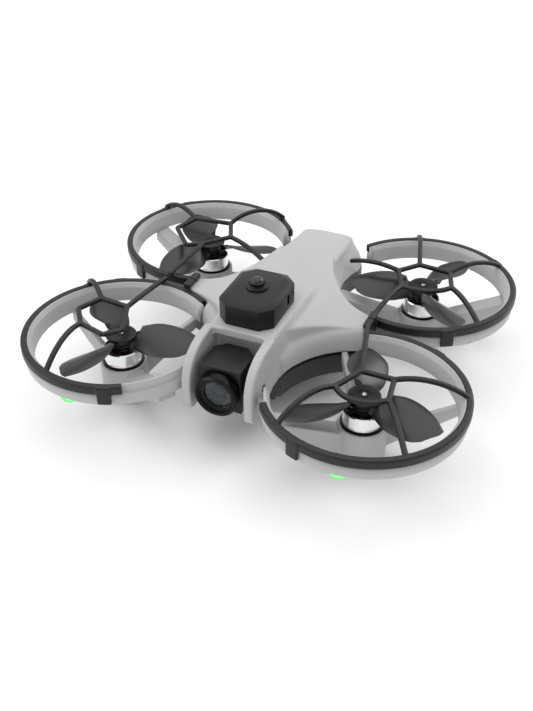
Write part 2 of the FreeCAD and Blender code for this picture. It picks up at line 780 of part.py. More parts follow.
def top_shell():
    """Light moulded cover: roof, wings and the camera fork in one piece."""
    plates = [cheek("cheek_left", 1), cheek("cheek_right", -1)]
    body = fuse("shell_body", [hull("hull", "shell_front", "shell_rear", "0"), wings("wings", "0")] + plates)
    room = rotor_room("shell_room", "0", "roof_high + 10")
    outer = cut("shell_outer", body, [room])
    cavity = hull("cavity", "shell_front + shell_wall", "shell_rear - shell_wall", "shell_wall")
    wing_cavity = wings("wing_cavity", "shell_wall")
    hollow = hollowed("shell_hollow", fuse("shell_inside", [cavity, wing_cavity]), "0", "shell_wall")
    bosses = common("shell_bosses", fuse("boss_pair", screw_bosses("shell_boss", "shell_skirt", "wing_root")), outer)
    mouth = block("camera_mouth", "-cheek_inner", "cheek_inner", "cheek_front", "chassis_front",
                  "cheek_bottom", "roof_high - fascia_drop")
    pivots = put(make("Cylinder", "pivot_holes", Radius="bolt_radius", Height="cheek_inner * 2 + cheek_thick * 2"),
                 "-cheek_inner - cheek_thick", "pivot_y", "pivot_z", turn=90.0, axis=FreeCAD.Vector(0, 1, 0))
    recess = []
    for side in (-1, 1):
        base = "cheek_inner + cheek_thick - 1.2" if side > 0 else "-cheek_inner - cheek_thick"
        recess.append(put(make("Cylinder", "recess_%d" % (side + 1), Radius="bolt_head + 0.3", Height="1.2"),
                          base, "pivot_y", "pivot_z", turn=90.0, axis=FreeCAD.Vector(0, 1, 0)))
    button_hole = put(make("Cylinder", "button_hole", Radius="button_radius + button_clearance", Height="6"),
                      "button_x", "shell_rear - 4", "button_z", turn=-90.0, axis=FreeCAD.Vector(1, 0, 0))
    taps = screw_holes("shell_tap", "bolt_radius", "shell_skirt", "shell_skirt + screw_bite")
    skin = cut("shell_skin", outer, [hollow])
    item = cut("top_cover", fuse("shell_whole", [skin, bosses]), [mouth, pivots, button_hole] + recess + taps)
    return keep("top_shell", item)


def lower_chassis():
    """Dark tub under the shell; its sides carry the ducts' inner walls on past the body."""
    skirt = "shell_skirt"
    tail = "shell_rear - tail_inset"
    floor = "flank_bottom + chassis_wall"
    waist = block("waist_block", "-rotor_x + chassis_inset", "rotor_x - chassis_inset", "chassis_front", "rotor_y", "flank_bottom", skirt)
    tail_block = block("tail_block", "-flank_rear + duct_gap", "flank_rear - duct_gap", "rotor_y", tail,
                       "flank_bottom", skirt)
    belly = block("belly_block", "-belly_half", "belly_half", "chassis_front", tail, "belly", skirt)
    room = rotor_room("chassis_room", "0", "roof_high")
    outer = cut("tub_outer", fuse("tub_body", [waist, tail_block, belly]), [room])
    waist_bay = block("waist_bay", "-rotor_x + chassis_inset + chassis_wall", "rotor_x - chassis_inset - chassis_wall",
                      "chassis_front + chassis_wall", "rotor_y", floor, skirt)
    tail_bay = block("tail_bay", "-flank_rear + duct_gap + chassis_wall", "flank_rear - duct_gap - chassis_wall",
                     "rotor_y", tail + " - chassis_wall", floor, skirt)
    belly_bay = block("belly_bay", "-belly_half + chassis_wall", "belly_half - chassis_wall",
                      "chassis_front + chassis_wall", tail + " - chassis_wall", "belly + chassis_wall", skirt)
    hollow = hollowed("tub_hollow", fuse("tub_inside", [waist_bay, tail_bay, belly_bay]), "0", "chassis_wall")
    bosses = fuse("tub_bosses", screw_bosses("tub_boss", "flank_bottom", skirt))
    socket = block("socket_block", "socket_x - socket_width / 2", "socket_x + socket_width / 2",
                   tail + " - socket_depth", "shell_rear",
                   "socket_z - socket_height / 2", "socket_z + socket_height / 2")
    holes = screw_holes("chassis_hole", "bolt_radius + bolt_clearance", "0", "rim_top")
    item = cut("tub", fuse("tub_whole", [cut("tub_skin", outer, [hollow]), bosses]), [socket] + holes)
    return keep("lower_chassis", item)


# ---------------------------------------------------------------- camera
def turned_along_y(name, points):
    """A turned piece whose axis runs fore and aft through the lens."""
    body = doc.addObject("PartDesign::Body", name)
    sketch = outline(body, name + "_section", "YZ_Plane", "0", points)
    spin = body.newObject("PartDesign::Revolution", name + "_turned")
    spin.Profile = sketch
    spin.ReferenceAxis = (sketch, ["H_Axis"])
    spin.Angle = 360.0
    body.Tip = spin
    return put(body, z="lens_z")


def camera():
    """Tilting camera: case, lens barrel and front glass."""
    body = doc.addObject("PartDesign::Body", "camera_block")
    points = (
        ("-camera_half", "camera_front"),
        ("camera_half", "camera_front"),
        ("camera_half", "camera_rear - camera_corner"),
        ("camera_half - camera_corner", "camera_rear"),
        ("-camera_half + camera_corner", "camera_rear"),
        ("-camera_half", "camera_rear - camera_corner"),
    )
    sketch = outline(body, "camera_plan", "XY_Plane", "camera_bottom", points)
    pad(body, "camera_pad", sketch, "camera_top - camera_bottom")
    inside = block("camera_inside", "-camera_half + camera_wall", "camera_half - camera_wall",
                   "camera_front + camera_wall", "camera_rear - camera_corner",
                   "camera_bottom + camera_wall", "camera_top - camera_wall")
    bore = put(make("Cylinder", "camera_bore", Radius="lens_radius - 1.6", Height="barrel_depth + camera_wall"),
               "0", "camera_front - camera_wall / 2", "lens_z", turn=-90.0, axis=FreeCAD.Vector(1, 0, 0))
    pivots = put(make("Cylinder", "camera_pivots", Radius="bolt_radius + shaft_clearance", Height="camera_half * 2"),
                 "-camera_half", "pivot_y", "pivot_z", turn=90.0, axis=FreeCAD.Vector(0, 1, 0))
    keep("camera_case", cut("camera_shell", body, [inside, bore, pivots]))

    barrel = turned_along_y("barrel", (
        ("camera_front + barrel_depth", "glass_radius"),
        ("camera_front + barrel_depth", "lens_radius - 1.6"),
        ("camera_front", "lens_radius - 1.6"),
        ("camera_front", "lens_radius - 0.4"),
        ("camera_front - 1.4", "lens_radius"),
        ("lens_front + 0.6", "lens_radius"),
        ("lens_front", "lens_radius - 0.6"),
        ("lens_front", "lens_radius - 1.6"),
        ("lens_front + 2.2", "glass_radius"),
    ))
    keep("lens_barrel", barrel)
    glass = turned_along_y("glass", (
        ("lens_front + 0.9", "0"),
        ("lens_front + 1.2", "glass_radius * 0.5"),
        ("lens_front + 2.2", "glass_radius"),
        ("lens_front + 4.4", "glass_radius"),
        ("lens_front + 4.4", "0"),
    ))
    keep("lens_glass", glass)

    screws = []
    for side in (-1, 1):
        inner = "%d * (camera_half - 1.2)" % side
        across = FreeCAD.Vector(0, 1, 0)
        stem = make("Cylinder", "pivot_stem_%d" % (side + 1), Radius="bolt_radius",
                    Height="cheek_inner + cheek_thick - camera_half")
        start = inner if side > 0 else "-cheek_inner - cheek_thick + 1.2"
        put(stem, start, "pivot_y", "pivot_z", turn=90.0, axis=across)
        head = make("Cylinder", "pivot_head_%d" % (side + 1), Radius="bolt_head", Height="1.1")
        place = "cheek_inner + cheek_thick - 1.2" if side > 0 else "-cheek_inner - cheek_thick + 0.1"
        put(head, place, "pivot_y", "pivot_z", turn=90.0, axis=across)
        screws.append(fuse("pivot_screw_%d" % (side + 1), [stem, head]))
    keep("camera_screws", group("camera_screws", screws))


# ---------------------------------------------------------------- roof unit
def roof_unit():
    """Faceted housing on the roof with a small round dome."""
    def plan(inset):
        corner = "unit_corner"
        wide = "unit_half - %s" % inset
        fore = "unit_front + %s" % inset
        aft = "unit_rear - %s" % inset
        return (
            ("-(%s) + %s" % (wide, corner), fore),
            ("%s - %s" % (wide, corner), fore),
            (wide, "%s + %s" % (fore, corner)),
            (wide, "%s - %s" % (aft, corner)),
            ("%s - %s" % (wide, corner), aft),
            ("-(%s) + %s" % (wide, corner), aft),
            ("-(%s)" % wide, "%s - %s" % (aft, corner)),
            ("-(%s)" % wide, "%s + %s" % (fore, corner)),
        )
    body = doc.addObject("PartDesign::Body", "unit_block")
    levels = (("roof_high", "0"), ("roof_high + unit_height - unit_bevel", "0"),
              ("roof_high + unit_height", "unit_bevel * 1.6"))
    sections = [outline(body, "unit_plan_%d" % index, "XY_Plane", level, plan(inset))
                for index, (level, inset) in enumerate(levels)]
    loft = body.newObject("PartDesign::AdditiveLoft", "unit_loft")
    loft.Profile = sections[0]
    loft.Sections = sections[1:]
    loft.Ruled = True
    body.Tip = loft
    inside = block("unit_inside", "-unit_half + unit_wall", "unit_half - unit_wall", "unit_front + unit_corner",
                   "unit_rear - unit_corner", "roof_high", "roof_high + unit_height - unit_bevel - unit_wall")
    slot = block("unit_slot", "unit_half - unit_wall", "unit_half", "unit_rear - 14", "unit_rear - 11.4",
                 "roof_high + 2.6", "roof_high + 7.6")
    vent = put(make("Cylinder", "unit_pinhole", Radius="0.6", Height="unit_wall"),
               "unit_half - unit_wall", "unit_rear - 7.4", "roof_high + 6", turn=90.0,
               axis=FreeCAD.Vector(0, 1, 0))
    keep("roof_unit_case", cut("unit_case", body, [inside, slot, vent]))

    deck = "roof_high + unit_height"
    bezel = revolved("bezel", (
        ("dome_radius * 0.8", deck),
        ("bezel_radius", deck),
        ("bezel_radius - 0.5", deck + " + bezel_height * 0.7"),
        ("bezel_radius - 1.3", deck + " + bezel_height"),
        ("dome_radius * 0.8", deck + " + bezel_height"),
    ))
    keep("dome_bezel", put(bezel, y="dome_y"))
    dome = revolved("dome", (
        ("0", deck),
        ("dome_radius * 0.8", deck),
        ("dome_radius * 0.8", deck + " + bezel_height"),
        ("dome_radius", deck + " + bezel_height + 0.3"),
        ("dome_radius", deck + " + bezel_height + 1.3"),
        ("dome_radius * 0.86", deck + " + bezel_height + 2.4"),
        ("dome_radius * 0.5", deck + " + bezel_height + 3.2"),
        ("0", deck + " + bezel_height + 3.5"),
    ))
    keep("dome_knob", put(dome, y="dome_y"))


# ---------------------------------------------------------------- lamps and inside parts
def lamps():
    """Clear lamp lenses under the ducts."""
    for name, (side, end) in CORNERS.items():
        angle = bearing(side, size("front_lamp_angle" if end < 0 else "rear_lamp_angle"))
        spot = around(size("lamp_ring"), angle, 0)
        lens = make("Ellipsoid", "lamp_" + name, Radius1="lamp_height", Radius2="lamp_width",
                    Radius3="lamp_length")
        lens.Angle1 = -90.0
        lens.Angle2 = 0.0
        put(lens, "%d * rotor_x + (%f)" % (side, spot.x), "%d * rotor_y + (%f)" % (end, spot.y),
            "rim_top - duct_depth", turn=angle)
        keep("lamp_lens_" + name, lens)


def inside_parts():
    """What the body holds: boards, battery, socket, button and screws."""
    half = "board_size / 2"
    board = block("board", "-" + half, half, "board_y - " + half, "board_y + " + half,
                  "board_level", "board_level + board_thick")
    chips = [
        block("chip_main", "-4", "4", "board_y - 4", "board_y + 4", "board_level + board_thick",
              "board_level + board_thick + 1.4"),
        block("chip_side", "6", "10", "board_y - 3", "board_y + 3", "board_level + board_thick",
              "board_level + board_thick + 1"),
        block("chip_rear", "-10", "-6", "board_y + 2", "board_y + 8", "board_level + board_thick",
              "board_level + board_thick + 1"),
    ]
    grommets = []
    holes = []
    for index, (a, b) in enumerate(((-1, -1), (1, -1), (1, 1), (-1, 1))):
        x = "%d * (board_size / 2 - 2.6)" % a
        y = "board_y + %d * (board_size / 2 - 2.6)" % b
        holes.append(disc("board_hole_%d" % index, "1.5", "board_level", "board_level + board_thick", x, y))
        grommets.append(disc("grommet_%d" % index, "1.5", "belly + chassis_wall",
                             "board_level + board_thick + 0.8", x, y))
    keep("flight_board", cut("board_piece", fuse("board_body", [board] + chips), holes))
    keep("board_grommets", group("grommet_group", grommets))

    keep("video_board", block("video_piece", "-unit_half + unit_wall + 1", "unit_half - unit_wall - 1",
                              "unit_front + unit_corner + 1", "unit_rear - unit_corner - 1",
                              "roof_high + 0.01", "roof_high + 3"))

    mouth = "shell_rear - tail_inset"
    battery_rear = mouth + " - socket_depth - battery_gap"
    keep("battery", block("battery_piece", "-battery_width / 2", "battery_width / 2",
                          battery_rear + " - battery_length", battery_rear, "belly + chassis_wall",
                          "belly + chassis_wall + battery_height"))

    outer = block("socket_outer", "socket_x - socket_width / 2", "socket_x + socket_width / 2",
                  mouth + " - socket_depth", mouth, "socket_z - socket_height / 2", "socket_z + socket_height / 2")
    inner = block("socket_inner", "socket_x - socket_width / 2 + socket_wall",
                  "socket_x + socket_width / 2 - socket_wall", mouth + " - socket_depth + socket_wall * 2", mouth,
                  "socket_z - socket_height / 2 + socket_wall", "socket_z + socket_height / 2 - socket_wall")
    tongue = block("socket_tongue", "socket_x - tongue_width / 2", "socket_x + tongue_width / 2",
                   mouth + " - socket_depth + socket_wall * 2", mouth + " - socket_wall * 2",
                   "socket_z - tongue_height / 2", "socket_z + tongue_height / 2")
    keep("charge_socket", fuse("socket_piece", [cut("socket_shell", outer, [inner]), tongue]))

    key = put(make("Cylinder", "button_stem", Radius="button_radius", Height="button_travel + shell_wall + 1"),
              "button_x", "shell_rear - shell_wall - 1", "button_z", turn=-90.0, axis=FreeCAD.Vector(1, 0, 0))
    keep("power_button", key)

    screws = []
    for index, (x, y) in enumerate(COVER_SCREWS):
        head = disc("cover_head_%d" % index, "bolt_head", "flank_bottom - bolt_head_height", "flank_bottom", x, y)
        stem = disc("cover_stem_%d" % index, "bolt_radius", "flank_bottom", "shell_skirt + screw_bite", x, y)
        screws.append(fuse("cover_screw_%d" % index, [head, stem]))
    keep("cover_screws", group("cover_screw_group", screws))


# ---------------------------------------------------------------- build, check, write
def check_document():
    doc.recompute()
    faults = [item.Name for item in doc.Objects if "Invalid" in item.State or "Error" in item.State]
    for label, item in nodes.items():
        shape = item.Shape
        if shape.isNull() or not shape.isValid() or not shape.Solids:
            faults.append(label)
    if faults:
        raise SystemExit("failed objects: " + ", ".join(faults))


def main():
    fill_sheet()
    top_shell()
    lower_chassis()
    doc.recompute()
    for name, (side, end) in CORNERS.items():
        duct(name, side, end)
        guard(name, side, end)
        motor(name, side, end)
        propeller(name, side, end)
    landing_pads()
    motor_screws()
    camera()
    roof_unit()
    lamps()
    inside_parts()
    check_document()
    os.makedirs("parts", exist_ok=True)
    for label, item in nodes.items():
        item.Shape.exportStep("parts/%s.step" % label)


main()
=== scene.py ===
import json
import math

import bmesh
import bpy
from mathutils import Matrix, Vector


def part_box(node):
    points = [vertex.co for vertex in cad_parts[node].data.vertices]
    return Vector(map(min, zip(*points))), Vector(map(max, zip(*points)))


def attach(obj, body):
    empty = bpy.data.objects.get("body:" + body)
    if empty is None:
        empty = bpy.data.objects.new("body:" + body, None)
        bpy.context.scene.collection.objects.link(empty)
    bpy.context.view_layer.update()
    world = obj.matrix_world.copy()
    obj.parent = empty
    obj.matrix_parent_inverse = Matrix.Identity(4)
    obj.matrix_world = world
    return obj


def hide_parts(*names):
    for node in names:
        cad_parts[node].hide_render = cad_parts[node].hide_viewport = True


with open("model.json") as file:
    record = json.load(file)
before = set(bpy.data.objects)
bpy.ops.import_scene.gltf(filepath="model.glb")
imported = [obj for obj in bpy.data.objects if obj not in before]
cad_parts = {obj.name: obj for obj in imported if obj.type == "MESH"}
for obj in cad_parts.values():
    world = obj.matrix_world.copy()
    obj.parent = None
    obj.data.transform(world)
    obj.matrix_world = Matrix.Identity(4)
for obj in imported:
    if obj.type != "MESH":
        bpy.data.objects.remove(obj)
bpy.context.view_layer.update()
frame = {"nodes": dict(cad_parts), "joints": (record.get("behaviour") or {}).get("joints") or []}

MM = 0.001


# ------------------------------------------------------------------ studio
# A white sweep under broad soft lamps, and a lens at table-side height that
# looks down over the nose from the craft's left.

scene = bpy.context.scene
scene.view_settings.view_transform = "Standard"

AZIMUTH = math.radians(22.9)
ELEVATION = math.radians(35.7)

lens = bpy.data.cameras.new("studio_camera")
lens.lens = 45.4
lens.sensor_width = 36.0
camera = bpy.data.objects.new("studio_camera", lens)
camera.location = Vector((139.0, -343.8, 271.8)) * MM
camera.rotation_euler = (math.radians(90.0) - ELEVATION, 0.0, AZIMUTH)
scene.collection.objects.link(camera)
scene.camera = camera


def soft_lamp(name, place, size, power, colour=(1.0, 1.0, 1.0)):
    """A large square lamp that faces the middle of the craft."""
    light = bpy.data.lights.new(name, "AREA")
    light.size = size
    light.energy = power
    light.color = colour
    lamp = bpy.data.objects.new(name, light)
    lamp.location = place
    aim = Vector((0.0, 0.0, 0.03)) - Vector(place)
    lamp.rotation_euler = aim.to_track_quat("-Z", "Y").to_euler()
    scene.collection.objects.link(lamp)


soft_lamp("overhead_softbox", (-0.15, 0.25, 1.0), 1.1, 4.2)
soft_lamp("left_softbox", (-0.9, -0.5, 0.7), 0.7, 3.4)
soft_lamp("rim_softbox", (0.5, 0.9, 0.6), 0.5, 2.8)

sky = bpy.data.worlds.new("studio_sky")
sky.use_nodes = True
sky.node_tree.nodes["Background"].inputs["Color"].default_value = (1.0, 1.0, 1.0, 1.0)
sky.node_tree.nodes["Background"].inputs["Strength"].default_value = 0.82
scene.world = sky


def link_piece(name, mesh):
    """Put a mesh in the scene as a piece, with smooth faces."""
    piece = bpy.data.objects.new(name, mesh)
    scene.collection.objects.link(piece)
    mesh.polygons.foreach_set("use_smooth", [True] * len(mesh.polygons))
    return piece


sweep_mesh = bpy.data.meshes.new("white_sweep")
sweep_mesh.from_pydata([(-4, -4, 0), (4, -4, 0), (4, 4, 0), (-4, 4, 0)], [], [(0, 1, 2, 3)])
white_sweep = link_piece("white_sweep", sweep_mesh)
sweep_white = bpy.data.materials.new("sweep_white")
sweep_white.use_nodes = True
sweep_shader = sweep_white.node_tree.nodes["Principled BSDF"]
sweep_shader.inputs["Base Color"].default_value = (0.93, 0.93, 0.93, 1.0)
sweep_shader.inputs["Roughness"].default_value = 0.75
sweep_shader.inputs["Specular IOR Level"].default_value = 0.1
sweep_mesh.materials.append(sweep_white)


# ------------------------------------------------------------------ ducts and motor pods
# Four light grey ABS mouldings, each one shot: a duct ring with a flared lip and
# a step for the guard, and a round pod hung low on tapering arms. Their finish is a
# fine spark-eroded texture whose gloss drifts; convex edges are painted lighter, part rub wear and part
# painted edge highlight.

def shader_group(name, inputs, outputs):
    """An empty shader group with named sockets; returns tree, source and sink."""
    tree = bpy.data.node_groups.new(name, "ShaderNodeTree")
    for label, kind, value in inputs:
        socket = tree.interface.new_socket(label, in_out="INPUT", socket_type=kind)
        socket.default_value = value
    for label, kind in outputs:
        tree.interface.new_socket(label, in_out="OUTPUT", socket_type=kind)
    source = tree.nodes.new("NodeGroupInput")
    sink = tree.nodes.new("NodeGroupOutput")
    return tree, source, sink


moulded, group_in, group_out = shader_group(
    "moulded_surface",
    (("Grain Size", "NodeSocketFloat", 4000.0), ("Grain Depth", "NodeSocketFloat", 0.1),
     ("Gloss Low", "NodeSocketFloat", 0.4), ("Gloss High", "NodeSocketFloat", 0.6),
     ("Body Colour", "NodeSocketColor", (0.5, 0.5, 0.5, 1.0)),
     ("Worn And Highlight Colour", "NodeSocketColor", (0.6, 0.6, 0.6, 1.0)),
     ("Wear And Highlight", "NodeSocketFloat", 0.3)),
    (("Color", "NodeSocketColor"), ("Roughness", "NodeSocketFloat"), ("Normal", "NodeSocketVector")))
nodes = moulded.nodes
place = nodes.new("ShaderNodeTexCoord")
grain = nodes.new("ShaderNodeTexNoise")
grain.inputs["Detail"].default_value = 2.0
drift = nodes.new("ShaderNodeTexNoise")
drift.inputs["Scale"].default_value = 38.0
drift.inputs["Detail"].default_value = 3.0
gloss = nodes.new("ShaderNodeMapRange")
# Pointiness mixes the lighter colour into convex edges: part rub wear, part painted edge highlight.
edge = nodes.new("ShaderNodeNewGeometry")
edge_rub_and_highlight = nodes.new("ShaderNodeMapRange")
edge_rub_and_highlight.inputs["From Min"].default_value = 0.52
edge_rub_and_highlight.inputs["From Max"].default_value = 0.62
edge_rub_and_highlight_share = nodes.new("ShaderNodeMath")
edge_rub_and_highlight_share.operation = "MULTIPLY"
edge_rub_and_highlight_break = nodes.new("ShaderNodeMath")
edge_rub_and_highlight_break.operation = "MULTIPLY"
worn_highlight_mix = nodes.new("ShaderNodeMix")
worn_highlight_mix.data_type = "RGBA"
mottle = nodes.new("ShaderNodeMix")
mottle.data_type = "RGBA"
mottle.blend_type = "MULTIPLY"
shade = nodes.new("ShaderNodeMapRange")
shade.inputs["To Min"].default_value = 0.93
shade.inputs["To Max"].default_value = 1.05
bump = nodes.new("ShaderNodeBump")
bump.inputs["Distance"].default_value = 0.0001
join = moulded.links.new
join(place.outputs["Object"], grain.inputs["Vector"])
join(place.outputs["Object"], drift.inputs["Vector"])
join(group_in.outputs["Grain Size"], grain.inputs["Scale"])
join(drift.outputs["Fac"], gloss.inputs["Value"])
join(group_in.outputs["Gloss Low"], gloss.inputs["To Min"])
join(group_in.outputs["Gloss High"], gloss.inputs["To Max"])
join(edge.outputs["Pointiness"], edge_rub_and_highlight.inputs["Value"])
join(edge_rub_and_highlight.outputs["Result"], edge_rub_and_highlight_share.inputs[0])
join(group_in.outputs["Wear And Highlight"], edge_rub_and_highlight_share.inputs[1])
join(edge_rub_and_highlight_share.outputs["Value"], edge_rub_and_highlight_break.inputs[0])
join(drift.outputs["Fac"], edge_rub_and_highlight_break.inputs[1])
join(edge_rub_and_highlight_break.outputs["Value"], worn_highlight_mix.inputs["Factor"])
join(group_in.outputs["Body Colour"], worn_highlight_mix.inputs["A"])
join(group_in.outputs["Worn And Highlight Colour"], worn_highlight_mix.inputs["B"])
join(drift.outputs["Fac"], shade.inputs["Value"])
mottle.inputs["Factor"].default_value = 1.0
join(worn_highlight_mix.outputs["Result"], mottle.inputs["A"])
join(shade.outputs["Result"], mottle.inputs["B"])
join(grain.outputs["Fac"], bump.inputs["Height"])
join(group_in.outputs["Grain Depth"], bump.inputs["Strength"])
join(mottle.outputs["Result"], group_out.inputs["Color"])
join(gloss.outputs["Result"], group_out.inputs["Roughness"])
join(bump.outputs["Normal"], group_out.inputs["Normal"])


def moulded_plastic(name, colour, worn_and_highlight, gloss, grain=(5200.0, 0.12), wear_and_highlight=0.5, specular=0.5):
    """A moulded plastic: colour, a lighter colour on convex edges that is part rub wear and part painted edge
    highlight, and how its gloss spreads.
    """
    material = bpy.data.materials.new(name)
    material.use_nodes = True
    tree = material.node_tree
    shader = tree.nodes["Principled BSDF"]
    shader.inputs["Specular IOR Level"].default_value = specular
    surface = tree.nodes.new("ShaderNodeGroup")
    surface.node_tree = moulded
    surface.inputs["Grain Size"].default_value = grain[0]
    surface.inputs["Grain Depth"].default_value = grain[1]
    surface.inputs["Gloss Low"].default_value = gloss[0]
    surface.inputs["Gloss High"].default_value = gloss[1]
    surface.inputs["Body Colour"].default_value = (*colour, 1.0)
    surface.inputs["Worn And Highlight Colour"].default_value = (*worn_and_highlight, 1.0)
    surface.inputs["Wear And Highlight"].default_value = wear_and_highlight
    tree.links.new(surface.outputs["Color"], shader.inputs["Base Color"])
    tree.links.new(surface.outputs["Roughness"], shader.inputs["Roughness"])
    tree.links.new(surface.outputs["Normal"], shader.inputs["Normal"])
    return material


frame_grey = moulded_plastic("frame_grey_abs", (0.43, 0.43, 0.44), (0.54, 0.54, 0.55), (0.38, 0.54))

ROTORS = {joint["name"][:-5]: Vector(joint["pos_m"]) / MM
          for joint in frame["joints"] if joint["name"].endswith("_spin")}
DUCT_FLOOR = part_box("lamp_lens_front_left")[1].z / MM
DUCT_DEPTH = 10.5
RIM_TOP = DUCT_FLOOR + DUCT_DEPTH
POD_TOP = 19.0
MOTOR_SEAT = 17.0


def bearing(name, angle):
    """A left-hand bearing in degrees, mirrored for the right-hand corners."""
    return angle if "left" in name else 180.0 - angle


def around(centre, radius, angle, height):
    """A point beside a rotor axis, in millimetres."""
    turn = math.radians(angle)
    return Vector((centre.x + radius * math.cos(turn), centre.y + radius * math.sin(turn), height))


def spun(shape, section, centre, start=0.0, sweep=360.0, step=2.5):
    """Spin a closed section of (radius, height) about an upright axis."""
    count = max(3, round(sweep / step))
    closed = sweep > 359.9
    rings = []
    for index in range(count if closed else count + 1):
        angle = start + sweep * index / count
        rings.append([shape.verts.new(around(centre, r, angle, z)) for r, z in section])
    pairs = list(zip(rings, rings[1:])) + ([(rings[-1], rings[0])] if closed else [])
    size = len(section)
    for here, there in pairs:
        for index in range(size):
            after = (index + 1) % size
            shape.faces.new((here[index], there[index], there[after], here[after]))
    if not closed:
        shape.faces.new(rings[0])
        shape.faces.new(reversed(rings[-1]))
    return shape


def lathe(shape, section, centre, step=5.0):
    """Spin an open section that starts and ends on the axis."""
    count = round(360.0 / step)
    rings = []
    for r, z in section:
        if r < 1e-6:
            rings.append([shape.verts.new((centre.x, centre.y, z))])
        else:
            rings.append([shape.verts.new(around(centre, r, 360.0 * k / count, z)) for k in range(count)])
    for low, high in zip(rings, rings[1:]):
        for index in range(count):
            after = (index + 1) % count
            quad = [low[index % len(low)], low[after % len(low)], high[after % len(high)],
                    high[index % len(high)]]
            corners = list(dict.fromkeys(quad))
            if len(corners) > 2:
                shape.faces.new(corners)
    return shape


def prism(shape, corners_low, corners_high):
    """A closed solid between two outlines with the same number of corners."""
    low = [shape.verts.new(c) for c in corners_low]
    high = [shape.verts.new(c) for c in corners_high]
    shape.faces.new(reversed(low))
    shape.faces.new(high)
    size = len(low)
    for index in range(size):
        after = (index + 1) % size
        shape.faces.new((low[index], low[after], high[after], high[index]))
    return shape


def piece_from(name, shape):
    """Make a piece in metres from a shape drawn in millimetres."""
    bmesh.ops.recalc_face_normals(shape, faces=shape.faces)
    bmesh.ops.scale(shape, vec=(MM, MM, MM), verts=shape.verts)
    mesh = bpy.data.meshes.new(name)
    shape.to_mesh(mesh)
    shape.free()
    return link_piece(name, mesh)


def settle(piece):
    """Apply a piece's modifiers."""
    depsgraph = bpy.context.evaluated_depsgraph_get()
    mesh = bpy.data.meshes.new_from_object(piece.evaluated_get(depsgraph))
    piece.modifiers.clear()
    piece.data = mesh
    mesh.polygons.foreach_set("use_smooth", [True] * len(mesh.polygons))
    return piece


def melted(name, shape, voxel, passes):
    """Fuse overlapping solids into one skin with softly filled corners."""
    piece = piece_from(name, shape)
    fuse = piece.modifiers.new("fuse", "REMESH")
    fuse.mode = "VOXEL"
    fuse.voxel_size = voxel * MM
    fuse.use_smooth_shade = True
    ease = piece.modifiers.new("ease", "SMOOTH")
    ease.factor = 0.5
    ease.iterations = passes
    return settle(piece)


def merged(name, pieces):
    """Join several pieces into the first one, under one name."""
    whole = bmesh.new()
    for piece in pieces:
        whole.from_mesh(piece.data)
        bpy.data.objects.remove(piece)
    mesh = bpy.data.meshes.new(name)
    whole.to_mesh(mesh)
    whole.free()
    return link_piece(name, mesh)


def cut_away(piece, tool):
    """Take one piece out of another, then drop the tool."""
    carve = piece.modifiers.new("carve", "BOOLEAN")
    carve.object = tool
    carve.operation = "DIFFERENCE"
    carve.solver = "EXACT"
    carve.use_self = True
    settle(piece)
    bpy.data.objects.remove(tool)
    return piece


def finish_with(piece, material):
    piece.data.materials.clear()
    piece.data.materials.append(material)
    return piece


def duct_section():
    """The ring's wall: upright outside, a step for the guard, and a flared inner face."""
    floor = DUCT_FLOOR
    step = RIM_TOP - 4.4
    outer = [(44.2, floor), (44.8, floor + 0.25), (45.0, floor + 0.8), (45.0, step), (43.4, step),
             (43.4, RIM_TOP - 0.9)]
    lip = [(42.9, RIM_TOP - 0.55), (42.45, RIM_TOP - 0.7), (42.1, RIM_TOP - 1.3)]
    throat = [(41.6 - 1.1 * math.sin(math.radians(t)), RIM_TOP - 2.2 - 6.6 * (1 - math.cos(math.radians(t))))
              for t in (0.0, 14.0, 28.0, 42.0, 56.0, 70.0)]
    foot = [(40.5, floor + 0.5), (40.9, floor + 0.1), (41.4, floor)]
    groove = [(42.0, floor), (42.1, floor + 1.2), (43.4, floor + 1.2), (43.5, floor)]
    return outer + lip + throat + foot + groove


FRONT_ARMS = ((25.0, 3.0), (120.0, 3.0), (212.0, 9.0))
REAR_ARMS = ((20.0, 9.0), (198.0, 9.0))


def arm(shape, centre, angle, width):
    """A tapering arm from the pod up to the duct wall."""
    ends = []
    for reach, low, high in ((8.0, 4.0, 16.0), (41.9, 21.4, 27.2)):
        end = []
        for sideways, height in ((-1, low), (1, low), (1, high), (-1, high)):
            foot = around(centre, reach, angle, height)
            across = Vector((-math.sin(math.radians(angle)), math.cos(math.radians(angle)), 0.0))
            end.append(foot + across * (sideways * width / 2))
        ends.append(end)
    return prism(shape, *ends)


# where each duct ring starts, as a left-hand bearing, and how far it runs round
RING_SPAN = {"front_left": (200.0, 268.0), "front_right": (200.0, 288.0),
             "rear_left": (253.0, 254.0), "rear_right": (253.0, 254.0)}

for name, centre in ROTORS.items():
    front = name.startswith("front")
    start, sweep = RING_SPAN[name]
    start = start if "left" in name else 180.0 - start - sweep
    ring = piece_from("ring_" + name, spun(bmesh.new(), duct_section(), centre, start, sweep))
    pod = bmesh.new()
    lathe(pod, [(0.0, 1.7), (10.9, 1.7), (11.2, 2.6), (11.2, 5.0), (11.0, 5.2), (11.2, 5.4),
                (11.2, POD_TOP - 1.0),
                (10.9, POD_TOP), (9.9, POD_TOP), (9.75, POD_TOP - 0.6), (9.75, MOTOR_SEAT),
                (0.0, MOTOR_SEAT)], centre)
    for angle, width in FRONT_ARMS if front else REAR_ARMS:
        arm(pod, centre, bearing(name, angle), width)
    hollow = bmesh.new()
    lathe(hollow, [(0.0, MOTOR_SEAT), (9.75, MOTOR_SEAT), (9.75, 30.0), (0.0, 30.0)], centre)
    body = melted("pod_" + name, pod, 0.5, 5)
    cut_away(body, piece_from("drill_" + name, hollow))
    moulding = merged("duct_moulding_" + name, [ring, body])
    finish_with(moulding, frame_grey)
    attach(moulding, "airframe")
    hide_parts("duct_" + name)


